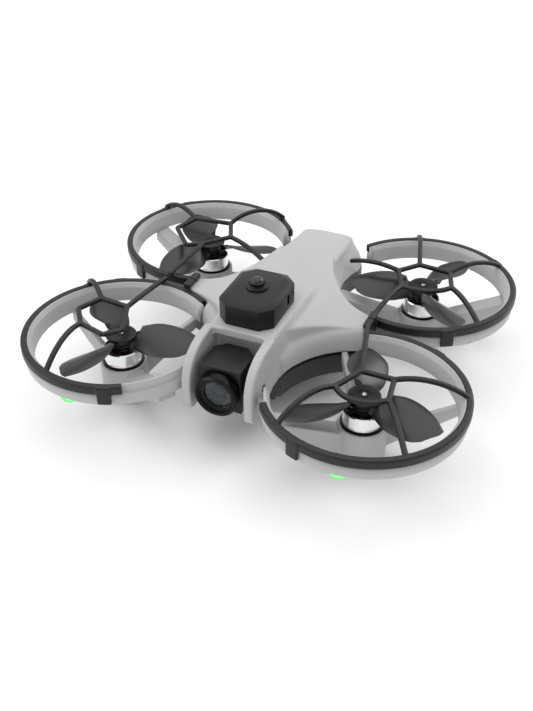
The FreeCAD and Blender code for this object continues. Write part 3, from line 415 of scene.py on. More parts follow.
# ------------------------------------------------------------------ guards
# Charcoal snap-on guards, one on each duct: a rim that caps the duct's step, a
# cage of thin bars over the propeller, arched legs, and hooks down the outside.

guard_charcoal = moulded_plastic("guard_charcoal_nylon", (0.006, 0.006, 0.0065), (0.025, 0.025, 0.026),
                                 (0.34, 0.50),
                                 grain=(6200.0, 0.10), wear_and_highlight=0.6, specular=0.4)

BAR_WIDTH = 2.5
BAR_DEPTH = 2.2
CAGE_LEVEL = RIM_TOP + 2.5
RIM_START = {"front_left": 214.0, "front_right": 239.0, "rear_left": 253.0, "rear_right": 253.0}
RIM_END = {"front_left": 466.0, "front_right": 485.0, "rear_left": 507.0, "rear_right": 507.0}
HOOKS = {"front_left": (249.0, 60.0), "front_right": (249.0, 60.0, 40.0), "rear_left": (299.0, 47.0, 108.0),
         "rear_right": (299.0, 47.0, 30.0, 128.0)}
CAGES = {
    "front_left": ((209.0, 13.0), (117.0, 9.5), (37.0, 13.2), (333.0, 13.8)),
    "front_right": ((74.0, 14.6), (39.0, 25.0), (8.0, 24.9), (337.0, 18.3), (283.0, 11.5), (231.0, 6.0)),
    "rear_left": ((181.0, 13.5), (118.0, 10.9), (35.0, 13.7), (338.0, 16.6), (241.0, 16.4)),
    "rear_right": ((184.0, 12.4), (113.0, 14.7), (37.0, 18.9), (352.0, 19.6), (288.0, 19.1), (263.0, 13.4)),
}
BOWS = {"front_left": (3, 271.0, 12.4), "rear_left": (3, 290.0, 15.0)}
LEGS = {
    "front_left": ((0, 234.0, 44.4, -1.1, 5.6), (1, 106.0, 47.5, 1.6, 4.0), (2, 16.0, 44.6, -1.1, 4.2),
                   (3, 309.0, 44.4, -1.1, 1.8)),
    "front_right": ((0, 89.0, 47.2, 1.2, 2.0), (1, 40.0, 46.4, 0.0, 5.0), (3, 287.0, 44.4, -1.1, 4.6)),
    "rear_left": ((0, 172.0, 41.4, -1.0, 2.4), (1, 108.0, 46.2, 0.0, 5.6), (2, 42.0, 45.0, -1.0, 4.4),
                  (3, 320.0, 44.4, -1.0, 2.6), (4, 254.0, 47.5, 1.6, 3.6)),
    "rear_right": ((0, 200.0, 41.4, -1.1, 2.0), (1, 128.0, 46.2, 0.0, 7.0), (2, 30.0, 46.2, 0.0, 5.0),
                   (5, 271.0, 47.2, 1.2, 2.0)),
}


def bar(shape, path, width=BAR_WIDTH, depth=BAR_DEPTH):
    """A bar of rounded section along a path of points."""
    rings = []
    for index, point in enumerate(path):
        before = path[max(index - 1, 0)]
        after = path[min(index + 1, len(path) - 1)]
        along = (after - before).normalized()
        flat = Vector((0, 0, 1)).cross(along).normalized()
        rise = along.cross(flat).normalized()
        ring = []
        for k in range(12):
            turn = 2 * math.pi * k / 12
            c, s = math.cos(turn), math.sin(turn)
            a = math.copysign(abs(c) ** 0.6, c) * width / 2
            b = math.copysign(abs(s) ** 0.6, s) * depth / 2
            ring.append(shape.verts.new(point + flat * a + rise * b))
        rings.append(ring)
    for here, there in zip(rings, rings[1:]):
        for k in range(12):
            shape.faces.new((here[k], there[k], there[(k + 1) % 12], here[(k + 1) % 12]))
    shape.faces.new(rings[0])
    shape.faces.new(reversed(rings[-1]))
    return shape


def three_point_arc(first, middle, last, count=14):
    """Points on the arc through three points."""
    a = middle - first
    b = last - first
    normal = a.cross(b)
    offset = b.length_squared * a.cross(b).cross(a) * -1 + a.length_squared * a.cross(b).cross(b)
    centre = first + offset * (-1 / (2 * normal.length_squared))
    start = first - centre
    axis = normal.normalized()
    end = last - centre
    total = math.atan2(axis.dot(start.cross(end)), start.dot(end))
    if total < 0:
        total += 2 * math.pi
    return [centre + Matrix.Rotation(total * k / count, 3, axis) @ start for k in range(count + 1)]


for name, centre in ROTORS.items():
    front = name.startswith("front")
    sweep = RIM_END[name] - RIM_START[name]
    start = RIM_START[name] if "left" in name else 180.0 - RIM_END[name]
    drop = RIM_TOP - 4.4
    rim_section = [(43.4, drop), (45.6, drop), (46.0, drop + 0.4), (46.0, RIM_TOP - 0.7), (45.5, RIM_TOP),
                   (43.2, RIM_TOP), (42.8, RIM_TOP - 0.3), (42.8, RIM_TOP - 0.9), (43.4, RIM_TOP - 0.9)]
    guard = spun(bmesh.new(), rim_section, centre, start, sweep)
    knots = [around(centre, reach, bearing(name, angle), CAGE_LEVEL) for angle, reach in CAGES[name]]
    bow_after, bow_angle, bow_reach = BOWS.get(name, (None, 0.0, 0.0))
    for index, here in enumerate(knots):
        there = knots[(index + 1) % len(knots)]
        if index == bow_after:
            bar(guard, three_point_arc(here, around(centre, bow_reach, bearing(name, bow_angle),
                                                    CAGE_LEVEL), there))
        else:
            bar(guard, [here, (here + there) / 2, there])
    for index, angle, reach, height, rise in LEGS[name]:
        heel = around(centre, reach, bearing(name, angle), RIM_TOP + height)
        middle = knots[index].lerp(heel, 0.6)
        middle.z = RIM_TOP + rise
        bar(guard, three_point_arc(knots[index], middle, heel))
    for angle in HOOKS[name]:
        turn = bearing(name, angle)
        half = math.degrees(3.0 / 45.0)
        hook_section = [(45.05, RIM_TOP - 9.2), (46.3, RIM_TOP - 9.2), (46.65, RIM_TOP - 8.8),
                        (46.65, RIM_TOP - 0.8),
                        (46.2, RIM_TOP - 0.2), (45.05, RIM_TOP - 0.2)]
        spun(guard, hook_section, centre, turn - half, 2 * half, step=2.0)
    side = 1 if "left" in name else -1
    end = -1 if front else 1
    for x_low, x_high, z_low, z_high in ((45.2, 48.6, 37.5, 40.1), (47.2, 48.6, 30.0, 40.1)):
        corners = [(side * x, end * y) for x, y in ((x_low, 0.3), (x_high, 0.3), (x_high, 6.3), (x_low, 6.3))]
        prism(guard, [(x, y, z_low) for x, y in corners], [(x, y, z_high) for x, y in corners])
    piece = melted("cage_guard_" + name, guard, 0.36, 2)
    finish_with(piece, guard_charcoal)
    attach(piece, "airframe")
    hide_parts("guard_" + name)


# ------------------------------------------------------------------ top shell
# The light grey cover is one moulding: a long rounded roof, wings that sweep out
# between the ducts, and two cheek plates in the nose that hold the camera.

SHELL_LOW, SHELL_HIGH = (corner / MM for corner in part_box("top_shell"))
SKIRT = 24.8
ROOF = SHELL_HIGH.z
ROOF_FRONT = -46.5
ROOF_BREAK = -5.0
ROOF_REAR = SHELL_HIGH.y
ROOF_FALL = 8.6
THROAT = 42.2
WING_REACH = SHELL_HIGH.x
WING_TIP = 37.3
WING_ROOT = 45.2
CHEEK_INNER = 12.7
CHEEK_OUTER = 17.1


def ease_between(value, low, high):
    share = min(max((value - low) / (high - low), 0.0), 1.0)
    return share * share * (3 - 2 * share)


def blend_at(y, front, middle, rear):
    """A size that eases from the nose to the break and on to the tail."""
    if y < ROOF_BREAK:
        return front + (middle - front) * ease_between(y, ROOF_FRONT, ROOF_BREAK)
    return middle + (rear - middle) * ease_between(y, ROOF_BREAK, ROOF_REAR)


def roof_height(y):
    return ROOF - ROOF_FALL * max(y - ROOF_BREAK, 0.0) / (ROOF_REAR - ROOF_BREAK)


hull = bmesh.new()
rings = []
stations = [ROOF_FRONT + (ROOF_REAR - ROOF_FRONT) * k / 24 for k in range(25)]
for y in stations:
    half = blend_at(y, 15.8, 17.2, 14.0)
    flank = blend_at(y, 17.7, 23.0, 20.5)
    top = roof_height(y)
    tail = ease_between(y, ROOF_REAR - 5.0, ROOF_REAR)
    side = [(flank, SKIRT), (flank - 0.35 * (flank - half), SKIRT + 0.40 * (top - SKIRT)),
            (half + 1.0, SKIRT + 0.72 * (top - SKIRT))]
    for k in range(6):
        turn = math.radians(90.0 * k / 5)
        side.append((half - 2.6 + 3.2 * math.cos(turn), top - 3.4 + 3.1 * math.sin(turn)))
    side.append((half * 0.5, top))
    side = [(x - 1.2 * tail, z - 1.2 * tail * (z - SKIRT) / (top - SKIRT)) for x, z in side]
    loop = side + [(-x, z) for x, z in reversed(side)]
    rings.append([hull.verts.new((x, y, z)) for x, z in loop])
for here, there in zip(rings, rings[1:]):
    size = len(here)
    for k in range(size):
        hull.faces.new((here[k], here[(k + 1) % size], there[(k + 1) % size], there[k]))
hull.faces.new(rings[0])
hull.faces.new(reversed(rings[-1]))
hull_piece = piece_from("hull_part", hull)

wing = bmesh.new()
wing_top = []
for k in range(15):
    share = k / 14
    x = 15.0 + (WING_REACH - 15.0) * share
    wing_top.append((x, WING_TIP + (WING_ROOT + 1.0 - WING_TIP) * (1 - share) ** 2.1))
outline = [(WING_REACH, SKIRT + 1.5)] + list(reversed(wing_top))
outline += [(-x, z) for x, z in wing_top] + [(-WING_REACH, SKIRT + 1.5)]
prism(wing, [(x, -40.0, z) for x, z in outline], [(x, 40.0, z) for x, z in outline])
wing_piece = piece_from("wing_part", wing)


def rotor_tools(name, flare):
    """What the ducts take out of the body, flared at the top where asked."""
    tools = bmesh.new()
    for corner, centre in ROTORS.items():
        section = [(0.0, 10.0), (THROAT, 10.0), (THROAT, RIM_TOP - 6.5)]
        for k in range(1, 7):
            turn = math.radians(15.0 * k)
            section.append((THROAT + flare * (1 - math.cos(turn)), RIM_TOP - 6.5 + 6.5 * math.sin(turn)))
        section += [(THROAT + flare, 70.0), (0.0, 70.0)]
        lathe(tools, section, centre, step=3.0)
        start, sweep = RING_SPAN[corner]
        start = start if "left" in corner else 180.0 - start - sweep
        spun(tools, [(41.0, 9.0), (46.2, 9.0), (46.2, 71.0), (41.0, 71.0)], centre, start, sweep, step=3.0)
    return piece_from(name, tools)


cut_away(wing_piece, rotor_tools("wing_tools", 4.0))
cut_away(hull_piece, rotor_tools("hull_tools", 0.0))

mouth = bmesh.new()
box = [(-CHEEK_INNER, -80.0), (CHEEK_INNER, -80.0), (CHEEK_INNER, -42.0), (-CHEEK_INNER, -42.0)]
prism(mouth, [(x, y, 10.0) for x, y in box], [(x, y, ROOF - 4.0) for x, y in box])
cut_away(hull_piece, piece_from("mouth_tool", mouth))

cheeks = bmesh.new()
nose = SHELL_LOW.y
foot = SHELL_LOW.z
profile = [(-45.0, SKIRT), (-45.0, ROOF), (nose + 15.0, ROOF - 0.9), (nose + 10.5, ROOF - 2.2),
           (nose + 6.6, ROOF - 4.4),
           (nose + 3.6, ROOF - 7.2), (nose + 1.6, ROOF - 10.6), (nose + 0.5, ROOF - 14.0),
           (nose, ROOF - 18.0),
           (nose, foot + 5.0), (nose + 0.4, foot + 2.4), (nose + 1.4, foot + 0.8), (nose + 3.0, foot),
           (nose + 12.0, foot), (nose + 17.0, foot + 3.0), (nose + 20.5, SKIRT - 3.0)]
for side in (-1, 1):
    inner = [(side * CHEEK_INNER, y, z) for y, z in profile]
    outer = [(side * CHEEK_OUTER, y, z) for y, z in profile]
    prism(cheeks, inner, outer)
cheek_piece = piece_from("cheek_part", cheeks)

whole = bmesh.new()
for part in (hull_piece, wing_piece, cheek_piece):
    whole.from_mesh(part.data)
    bpy.data.objects.remove(part)
bmesh.ops.scale(whole, vec=(1 / MM, 1 / MM, 1 / MM), verts=whole.verts)
top_cover = melted("top_cover", whole, 0.62, 5)

flow = top_cover.vertex_groups.new(name="flow")
for corner in top_cover.data.vertices:
    x, y, z = corner.co / MM
    ring_gap = min(math.hypot(x - c.x, y - c.y) for c in ROTORS.values()) - THROAT
    share = ease_between(ring_gap, 3.0, 9.0) * ease_between(y, -40.0, -30.0) * ease_between(-y, -68.0, -58.0)
    share *= ease_between(abs(x), 10.0, 16.0) * ease_between(-abs(x), -44.0, -36.0)
    share *= ease_between(z, 30.0, 34.0)
    flow.add([corner.index], share, "REPLACE")
drape = top_cover.modifiers.new("drape", "SMOOTH")
drape.factor = 0.5
drape.iterations = 90
drape.vertex_group = "flow"
settle(top_cover)

sockets = bmesh.new()
pivot = next(Vector(joint["pos_m"]) / MM for joint in frame["joints"] if joint["name"] == "camera_tilt")
for side in (-1, 1):
    section = [(0.0, 0.0), (2.3, 0.0), (2.3, 3.0), (0.0, 3.0)]
    start = len(sockets.verts)
    lathe(sockets, section, Vector((0.0, 0.0, 0.0)), step=12.0)
    sockets.verts.ensure_lookup_table()
    fresh = sockets.verts[start:]
    turn = Matrix.Rotation(math.radians(90.0 * side), 4, "Y")
    bmesh.ops.transform(sockets, matrix=Matrix.Translation((side * 15.9, pivot.y, pivot.z)) @ turn,
                        verts=fresh)
cut_away(top_cover, piece_from("socket_tools", sockets))
button = Vector(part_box("power_button")[0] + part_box("power_button")[1]) / (2 * MM)
port = bmesh.new()
lathe(port, [(0.0, -4.0), (2.95, -4.0), (2.95, 4.0), (0.0, 4.0)], Vector((0.0, 0.0, 0.0)), step=12.0)
bmesh.ops.transform(port, verts=port.verts, matrix=Matrix.Translation((button.x, ROOF_REAR, button.z))
                    @ Matrix.Rotation(math.radians(90.0), 4, "X"))
cut_away(top_cover, piece_from("button_tool", port))
finish_with(top_cover, frame_grey)
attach(top_cover, "airframe")
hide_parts("top_shell")


# ------------------------------------------------------------------ lower chassis and landing pads
# A dark tub closes the body from below and carries the ducts' inner walls on past
# it. Soft rubber pads are plugged into the pods' open ends; the craft stands on them.

def recast(node, name, radius, material, body="airframe", segments=2):
    """A piece on a node's own faces, with its edges rounded."""
    shape = bmesh.new()
    shape.from_mesh(frame["nodes"][node].data)
    bmesh.ops.remove_doubles(shape, verts=shape.verts, dist=0.002 * MM)
    bmesh.ops.dissolve_limit(shape, angle_limit=math.radians(0.8), verts=shape.verts, edges=shape.edges)
    mesh = bpy.data.meshes.new(name)
    shape.to_mesh(mesh)
    shape.free()
    piece = link_piece(name, mesh)
    soften = piece.modifiers.new("soften", "BEVEL")
    soften.width = radius * MM
    soften.segments = segments
    soften.limit_method = "ANGLE"
    soften.angle_limit = math.radians(38.0)
    soften.use_clamp_overlap = True
    settle(piece)
    piece.data.set_sharp_from_angle(angle=math.radians(34.0))
    finish_with(piece, material)
    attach(piece, body)
    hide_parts(node)
    return piece


chassis_dark = moulded_plastic("chassis_dark_nylon", (0.035, 0.035, 0.037), (0.06, 0.06, 0.062), (0.48, 0.62))
soft_rubber = moulded_plastic("soft_rubber_black", (0.012, 0.012, 0.012), (0.03, 0.03, 0.03), (0.72, 0.86),
                              grain=(2600.0, 0.25), wear_and_highlight=0.2)
recast("lower_chassis", "chassis_tub", 0.25, chassis_dark)
recast("landing_pads", "rubber_pads", 0.4, soft_rubber, segments=3)


# ------------------------------------------------------------------ motors
# Small outrunners, screwed up through the pod floors. Nine enamelled coils sit on
# a black laminated core; the turned alloy bell and its steel shaft spin round them.

ring_tree = bpy.data.node_groups.new("ring_of_parts", "GeometryNodeTree")
for label, kind in (("Part", "NodeSocketObject"), ("Count", "NodeSocketInt"), ("Radius", "NodeSocketFloat"),
                    ("Start", "NodeSocketFloat"), ("Centre", "NodeSocketVector"),
                    ("Material", "NodeSocketMaterial")):
    ring_tree.interface.new_socket(label, in_out="INPUT", socket_type=kind)
ring_tree.interface.new_socket("Geometry", in_out="OUTPUT", socket_type="NodeSocketGeometry")
nodes = ring_tree.nodes
asked = nodes.new("NodeGroupInput")
given = nodes.new("NodeGroupOutput")
ring = nodes.new("GeometryNodeMeshCircle")
part = nodes.new("GeometryNodeObjectInfo")
scatter = nodes.new("GeometryNodeInstanceOnPoints")
spot = nodes.new("GeometryNodeInputPosition")
split = nodes.new("ShaderNodeSeparateXYZ")
swing = nodes.new("ShaderNodeMath")
swing.operation = "ARCTAN2"
turn = nodes.new("ShaderNodeCombineXYZ")
first = nodes.new("ShaderNodeCombineXYZ")
shift = nodes.new("GeometryNodeTransform")
plain = nodes.new("GeometryNodeRealizeInstances")
coat = nodes.new("GeometryNodeSetMaterial")
join = ring_tree.links.new
join(asked.outputs["Count"], ring.inputs["Vertices"])
join(asked.outputs["Radius"], ring.inputs["Radius"])
join(asked.outputs["Part"], part.inputs["Object"])
join(ring.outputs["Mesh"], scatter.inputs["Points"])
join(part.outputs["Geometry"], scatter.inputs["Instance"])
join(spot.outputs["Position"], split.inputs["Vector"])
join(split.outputs["Y"], swing.inputs[0])
join(split.outputs["X"], swing.inputs[1])
join(swing.outputs["Value"], turn.inputs["Z"])
join(turn.outputs["Vector"], scatter.inputs["Rotation"])
join(scatter.outputs["Instances"], shift.inputs["Geometry"])
join(asked.outputs["Centre"], shift.inputs["Translation"])
join(asked.outputs["Start"], first.inputs["Z"])
join(first.outputs["Vector"], shift.inputs["Rotation"])
join(shift.outputs["Geometry"], plain.inputs["Geometry"])
join(plain.outputs["Geometry"], coat.inputs["Geometry"])
join(asked.outputs["Material"], coat.inputs["Material"])
join(coat.outputs["Geometry"], given.inputs["Geometry"])
RING_SOCKETS = {item.name: item.identifier for item in ring_tree.interface.items_tree
                if item.in_out == "INPUT"}


def ring_of(name, part, count, radius, centre, start, material):
    """Copies of a part set round a circle, as one plain piece."""
    host = link_piece(name, bpy.data.meshes.new(name))
    array = host.modifiers.new("ring", "NODES")
    array.node_group = ring_tree
    array[RING_SOCKETS["Part"]] = part
    array[RING_SOCKETS["Count"]] = count
    array[RING_SOCKETS["Radius"]] = radius * MM
    array[RING_SOCKETS["Start"]] = math.radians(start)
    array[RING_SOCKETS["Centre"]] = (centre.x * MM, centre.y * MM, 0.0)
    array[RING_SOCKETS["Material"]] = material
    settle(host)
    bpy.data.objects.remove(part)
    return host


def metal(name, colour, roughness, along=(0.0, 0.0, 1.0), fineness=9000.0):
    """A turned metal: fine grooves that follow the tool round the axis."""
    material = bpy.data.materials.new(name)
    material.use_nodes = True
    tree = material.node_tree
    shader = tree.nodes["Principled BSDF"]
    shader.inputs["Base Color"].default_value = (*colour, 1.0)
    shader.inputs["Metallic"].default_value = 1.0
    surface = tree.nodes.new("ShaderNodeGroup")
    surface.node_tree = turned
    surface.inputs["Axis"].default_value = along
    surface.inputs["Fineness"].default_value = fineness
    surface.inputs["Gloss Low"].default_value = roughness * 0.75
    surface.inputs["Gloss High"].default_value = roughness * 1.3
    tree.links.new(surface.outputs["Roughness"], shader.inputs["Roughness"])
    tree.links.new(surface.outputs["Normal"], shader.inputs["Normal"])
    return material


turned, group_in, group_out = shader_group(
    "turned_surface",
    (("Axis", "NodeSocketVector", (0.0, 0.0, 1.0)), ("Fineness", "NodeSocketFloat", 9000.0),
     ("Gloss Low", "NodeSocketFloat", 0.15), ("Gloss High", "NodeSocketFloat", 0.25)),
    (("Roughness", "NodeSocketFloat"), ("Normal", "NodeSocketVector")))
nodes = turned.nodes
place = nodes.new("ShaderNodeTexCoord")
reach = nodes.new("ShaderNodeVectorMath")
reach.operation = "DOT_PRODUCT"
grooves = nodes.new("ShaderNodeTexNoise")
grooves.noise_dimensions = "1D"
grooves.inputs["Detail"].default_value = 3.0
smear = nodes.new("ShaderNodeTexNoise")
smear.inputs["Scale"].default_value = 140.0
gloss = nodes.new("ShaderNodeMapRange")
bump = nodes.new("ShaderNodeBump")
bump.inputs["Strength"].default_value = 0.5
bump.inputs["Distance"].default_value = 0.00002
join = turned.links.new
join(place.outputs["Object"], reach.inputs[0])
join(group_in.outputs["Axis"], reach.inputs[1])
join(reach.outputs["Value"], grooves.inputs["W"])
join(group_in.outputs["Fineness"], grooves.inputs["Scale"])
join(place.outputs["Object"], smear.inputs["Vector"])
join(smear.outputs["Fac"], gloss.inputs["Value"])
join(group_in.outputs["Gloss Low"], gloss.inputs["To Min"])
join(group_in.outputs["Gloss High"], gloss.inputs["To Max"])
join(grooves.outputs["Fac"], bump.inputs["Height"])
join(gloss.outputs["Result"], group_out.inputs["Roughness"])
join(bump.outputs["Normal"], group_out.inputs["Normal"])

bell_silver = metal("bell_silver_alloy", (0.90, 0.90, 0.91), 0.16)
bright_steel = metal("bright_ground_steel", (0.72, 0.72, 0.73), 0.18)
coil_copper = metal("enamelled_coil_wire", (0.16, 0.055, 0.025), 0.34, fineness=2600.0)
core_black = moulded_plastic("stator_black_laminations", (0.012, 0.012, 0.013), (0.03, 0.03, 0.03),
                             (0.40, 0.55))
screw_black = moulded_plastic("screw_black_oxide", (0.012, 0.012, 0.013), (0.06, 0.06, 0.06), (0.28, 0.40),
                              wear_and_highlight=0.8)
ORIGIN = Vector((0.0, 0.0, 0.0))
BELL_FLOOR = 19.6
BELL_TOP = 26.8


def cuboid(shape, low, high):
    """A plain block between two corners."""
    plan = [(low[0], low[1]), (high[0], low[1]), (high[0], high[1]), (low[0], high[1])]
    return prism(shape, [(x, y, low[2]) for x, y in plan], [(x, y, high[2]) for x, y in plan])


def rounded(piece, radius, segments=2):
    """Round a piece's edges and keep its flat faces flat."""
    soften = piece.modifiers.new("soften", "BEVEL")
    soften.width = radius * MM
    soften.segments = segments
    soften.limit_method = "ANGLE"
    settle(piece)
    piece.data.set_sharp_from_angle(angle=math.radians(40.0))
    return piece


def in_metres(piece_list, name, material, slot, body, *replaced):
    """Merge pieces into one with its material and body; the slot argument is not used."""
    piece = merged(name, piece_list) if len(piece_list) > 1 else piece_list[0]
    piece.name = name
    piece.data.set_sharp_from_angle(angle=math.radians(36.0))
    finish_with(piece, material)
    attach(piece, body)
    if replaced:
        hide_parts(*replaced)
    return piece


for name, centre in ROTORS.items():
    core = bmesh.new()
    lathe(core, [(0.0, MOTOR_SEAT), (9.1, MOTOR_SEAT), (9.2, MOTOR_SEAT + 0.2), (9.2, MOTOR_SEAT + 1.4),
                 (9.0, MOTOR_SEAT + 1.6), (3.4, MOTOR_SEAT + 1.6), (3.4, 19.8), (2.6, 19.8), (2.4, 25.4),
                 (0.0, 25.4)],
          centre, step=4.0)
    tooth = bmesh.new()
    cuboid(tooth, (-3.2, -0.65, 19.9), (0.6, 0.65, 25.0))
    cuboid(tooth, (0.5, -1.9, 19.9), (1.3, 1.9, 25.0))
    teeth = ring_of("teeth_" + name, piece_from("tooth", tooth), 9, 6.05, centre, 8.0, core_black)
    in_metres([piece_from("core_" + name, core), teeth], "motor_core_" + name, core_black, "stator_black",
              "airframe",
              "motor_stator_" + name)
    coil = bmesh.new()
    cuboid(coil, (-1.7, -1.25, 19.85), (0.35, 1.25, 25.15))
    coils = ring_of("coils_" + name, rounded(piece_from("coil", coil), 0.55, 3), 9, 6.05, centre, 8.0,
                    coil_copper)
    in_metres([coils], "motor_coils_" + name, coil_copper, "stator_black", "airframe")

    can = bmesh.new()
    spun(can, [(8.1, BELL_FLOOR), (8.8, BELL_FLOOR), (9.0, BELL_FLOOR + 0.25), (9.0, BELL_FLOOR + 1.1),
               (8.9, BELL_FLOOR + 1.2), (9.0, BELL_FLOOR + 1.3), (9.0, BELL_TOP - 0.4), (8.6, BELL_TOP),
               (8.1, BELL_TOP), (8.0, BELL_TOP - 1.1), (8.1, BELL_TOP - 1.3)], centre, step=4.0)
    spider = bmesh.new()
    spun(spider, [(1.0, BELL_TOP - 1.2), (4.4, BELL_TOP - 1.2), (4.6, BELL_TOP - 0.9), (4.6, BELL_TOP - 0.2),
               (4.4, BELL_TOP), (3.2, BELL_TOP), (3.1, BELL_TOP + 0.3), (1.0, BELL_TOP + 0.3)], centre,
         step=4.0)
    spoke = bmesh.new()
    cuboid(spoke, (-2.1, -0.75, BELL_TOP - 1.1), (2.0, 0.75, BELL_TOP - 0.15))
    spokes = ring_of("spokes_" + name, rounded(piece_from("spoke", spoke), 0.25), 6, 6.3, centre, 42.0,
                     core_black)
    in_metres([piece_from("spider_" + name, spider), spokes], "bell_spider_" + name, core_black,
              "stator_black",
              "rotor_" + name)
    in_metres([piece_from("can_" + name, can)], "bell_" + name, bell_silver, "bell_silver", "rotor_" + name,
              "motor_bell_" + name)
    rod = bmesh.new()
    lathe(rod, [(0.0, 18.8), (0.7, 18.8), (1.0, 19.1), (1.0, 34.3), (0.75, 34.6), (0.0, 34.6)], centre,
          step=10.0)
    in_metres([piece_from("rod_" + name, rod)], "shaft_" + name, bright_steel, "bright_steel",
              "rotor_" + name,
              "motor_shaft_" + name)

screws = []
for name, centre in ROTORS.items():
    screw = bmesh.new()
    lathe(screw, [(0.0, 14.6), (0.9, 14.6), (0.9, 13.75), (1.75, 13.75), (1.88, 13.9), (1.88, 14.95),
                  (0.98, 15.0),
                  (0.98, 18.5), (0.0, 18.5)], ORIGIN, step=60.0 / 4)
    screws.append(ring_of("screws_" + name, piece_from("screw", screw), 4, 4.5, centre, 45.0, screw_black))
in_metres(screws, "pod_screws", screw_black, "screw_black", "airframe", "motor_screws")


# ------------------------------------------------------------------ propellers
# Three-bladed moulded propellers, one per shaft, pressed on and held by a flat
# black cap. The blades are broad, cambered and cut off at a slant at the tip.

propeller_dark = moulded_plastic("propeller_dark_polycarbonate", (0.010, 0.010, 0.011), (0.035, 0.035, 0.036),
                                 (0.26, 0.40), grain=(7000.0, 0.05), wear_and_highlight=0.4)
case_black = moulded_plastic("case_black_satin", (0.004, 0.004, 0.0045), (0.02, 0.02, 0.021), (0.34, 0.48),
                             wear_and_highlight=0.5,
                             specular=0.32)
BLADE_TIP = 37.5
BLADE_CHORD = 19.8
BLADE_LEVEL = 31.0
BLADE_ADVANCE = 44.0
BLADE_WIDTHS = ((0.10, 0.42), (0.24, 0.64), (0.42, 0.95), (0.60, 1.0), (0.78, 0.90), (0.93, 0.68),
                (1.0, 0.46))
BLADE_START = {"front_left": -20.0, "front_right": 12.0, "rear_left": 74.0, "rear_right": 136.0}
HUB_FLOOR = 27.1
HUB_TOP = 33.0
CAP_RADIUS = 7.3


def along_table(table, value):
    """Read a table of (place, size) pairs, easing between its rows."""
    for (low, first), (high, last) in zip(table, table[1:]):
        if value <= high:
            share = (value - low) / (high - low)
            return first + (last - first) * share
    return table[-1][1]


def blade(shape, start, hand, centre):
    """One blade: a skin of airfoil loops from the hub out to a slanted tip."""
    rings = []
    for step in range(27):
        share = 0.10 + 0.90 * step / 26
        radius = BLADE_TIP * share
        widths = [along_table(BLADE_WIDTHS, min(max(share + shift, 0.1), 1.0)) for shift in (-0.05, 0, 0.05)]
        chord = BLADE_CHORD * sum(widths) / 3
        thick = 1.5 - 0.95 * share
        lead = 1.5 * math.sin(math.pi * share)
        advance = BLADE_ADVANCE * (0.55 if share < 0.15 else 1.0)
        pitch = math.atan(advance / (2 * math.pi * radius))
        loop = []
        for k in range(20):
            angle = 2 * math.pi * k / 20
            along = math.cos(angle) * chord / 2
            camber = 0.055 * chord * (1 - (2 * along / chord) ** 2)
            half = thick / 2 * math.sin(angle) * (0.75 + 0.35 * math.cos(angle))
            forward = lead + along * math.cos(pitch) - (camber + half) * math.sin(pitch)
            up = along * math.sin(pitch) + (camber + half) * math.cos(pitch) + lead * math.tan(pitch) * 0.4
            slant = 1.0 - 0.10 * max(share - 0.72, 0.0) / 0.28 * max(-along / chord + 0.2, 0.0) * 1.6
            turn = Matrix.Rotation(math.radians(start), 3, "Z")
            turned_point = turn @ Vector((radius * slant, forward * hand, 0.0))
            height = BLADE_LEVEL + up
            if radius < CAP_RADIUS + 1.5:
                height = min(height, HUB_TOP - 0.1)
            loop.append(shape.verts.new((centre.x + turned_point.x, centre.y + turned_point.y, height)))
        rings.append(loop)
    for here, there in zip(rings, rings[1:]):
        for k in range(20):
            shape.faces.new((here[k], there[k], there[(k + 1) % 20], here[(k + 1) % 20]))
    shape.faces.new(rings[0])
    shape.faces.new(reversed(rings[-1]))


for name, centre in ROTORS.items():
    hand = 1 if name.startswith("front") else -1
    blades = bmesh.new()
    for index in range(3):
        blade(blades, BLADE_START[name] + 120.0 * index, hand, centre)
    spun(blades, [(1.02, HUB_FLOOR + 0.02), (4.4, HUB_FLOOR + 0.02), (4.65, HUB_FLOOR + 0.3),
                  (4.9, HUB_FLOOR + 1.5),
                  (4.75, HUB_FLOOR + 1.7), (5.9, HUB_TOP - 0.4), (5.9, HUB_TOP), (1.02, HUB_TOP)], centre,
         step=5.0)
    in_metres([piece_from("blades", blades)], "propeller_moulding_" + name, propeller_dark, "propeller_dark",
              "rotor_" + name, "propeller_" + name)
    cap = bmesh.new()
    spun(cap, [(1.02, HUB_TOP), (7.0, HUB_TOP), (7.3, HUB_TOP + 0.3), (7.3, HUB_TOP + 0.8),
               (7.0, HUB_TOP + 1.1),
               (6.4, HUB_TOP + 1.2), (3.0, HUB_TOP + 1.2), (2.8, HUB_TOP + 0.9), (2.1, HUB_TOP + 0.9),
               (1.9, HUB_TOP + 1.2), (1.02, HUB_TOP + 1.2)], centre, step=5.0)
    in_metres([piece_from("cap", cap)], "cap_disc_" + name, case_black, "propeller_dark", "rotor_" + name,
              "propeller_cap_" + name)


# ------------------------------------------------------------------ camera
# A micro camera held between the cheeks by two pivot screws. The black case has
# cut rear corners; the barrel is turned in steps around coated glass.

recast("camera_case", "camera_body", 0.5, case_black, body="camera", segments=3)
recast("camera_screws", "pivot_screws", 0.15, screw_black)
barrel_black = metal("barrel_black_anodised", (0.020, 0.020, 0.022), 0.30, along=(0.0, 1.0, 0.0))
CASE_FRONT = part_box("camera_case")[0].y / MM
LENS_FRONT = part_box("lens_barrel")[0].y / MM
LENS_Z = (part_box("lens_barrel")[0].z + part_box("lens_barrel")[1].z) / 2 / MM
# turns a piece drawn about +Z so that its top faces the nose
TO_NOSE = Matrix.Translation((0.0, 0.0, LENS_Z)) @ Matrix.Rotation(math.radians(90.0), 4, "X")


def facing_nose(piece):
    """Lay a piece drawn upright along the lens axis."""
    spin = TO_NOSE.copy()
    spin.translation *= MM
    piece.data.transform(spin)
    return piece


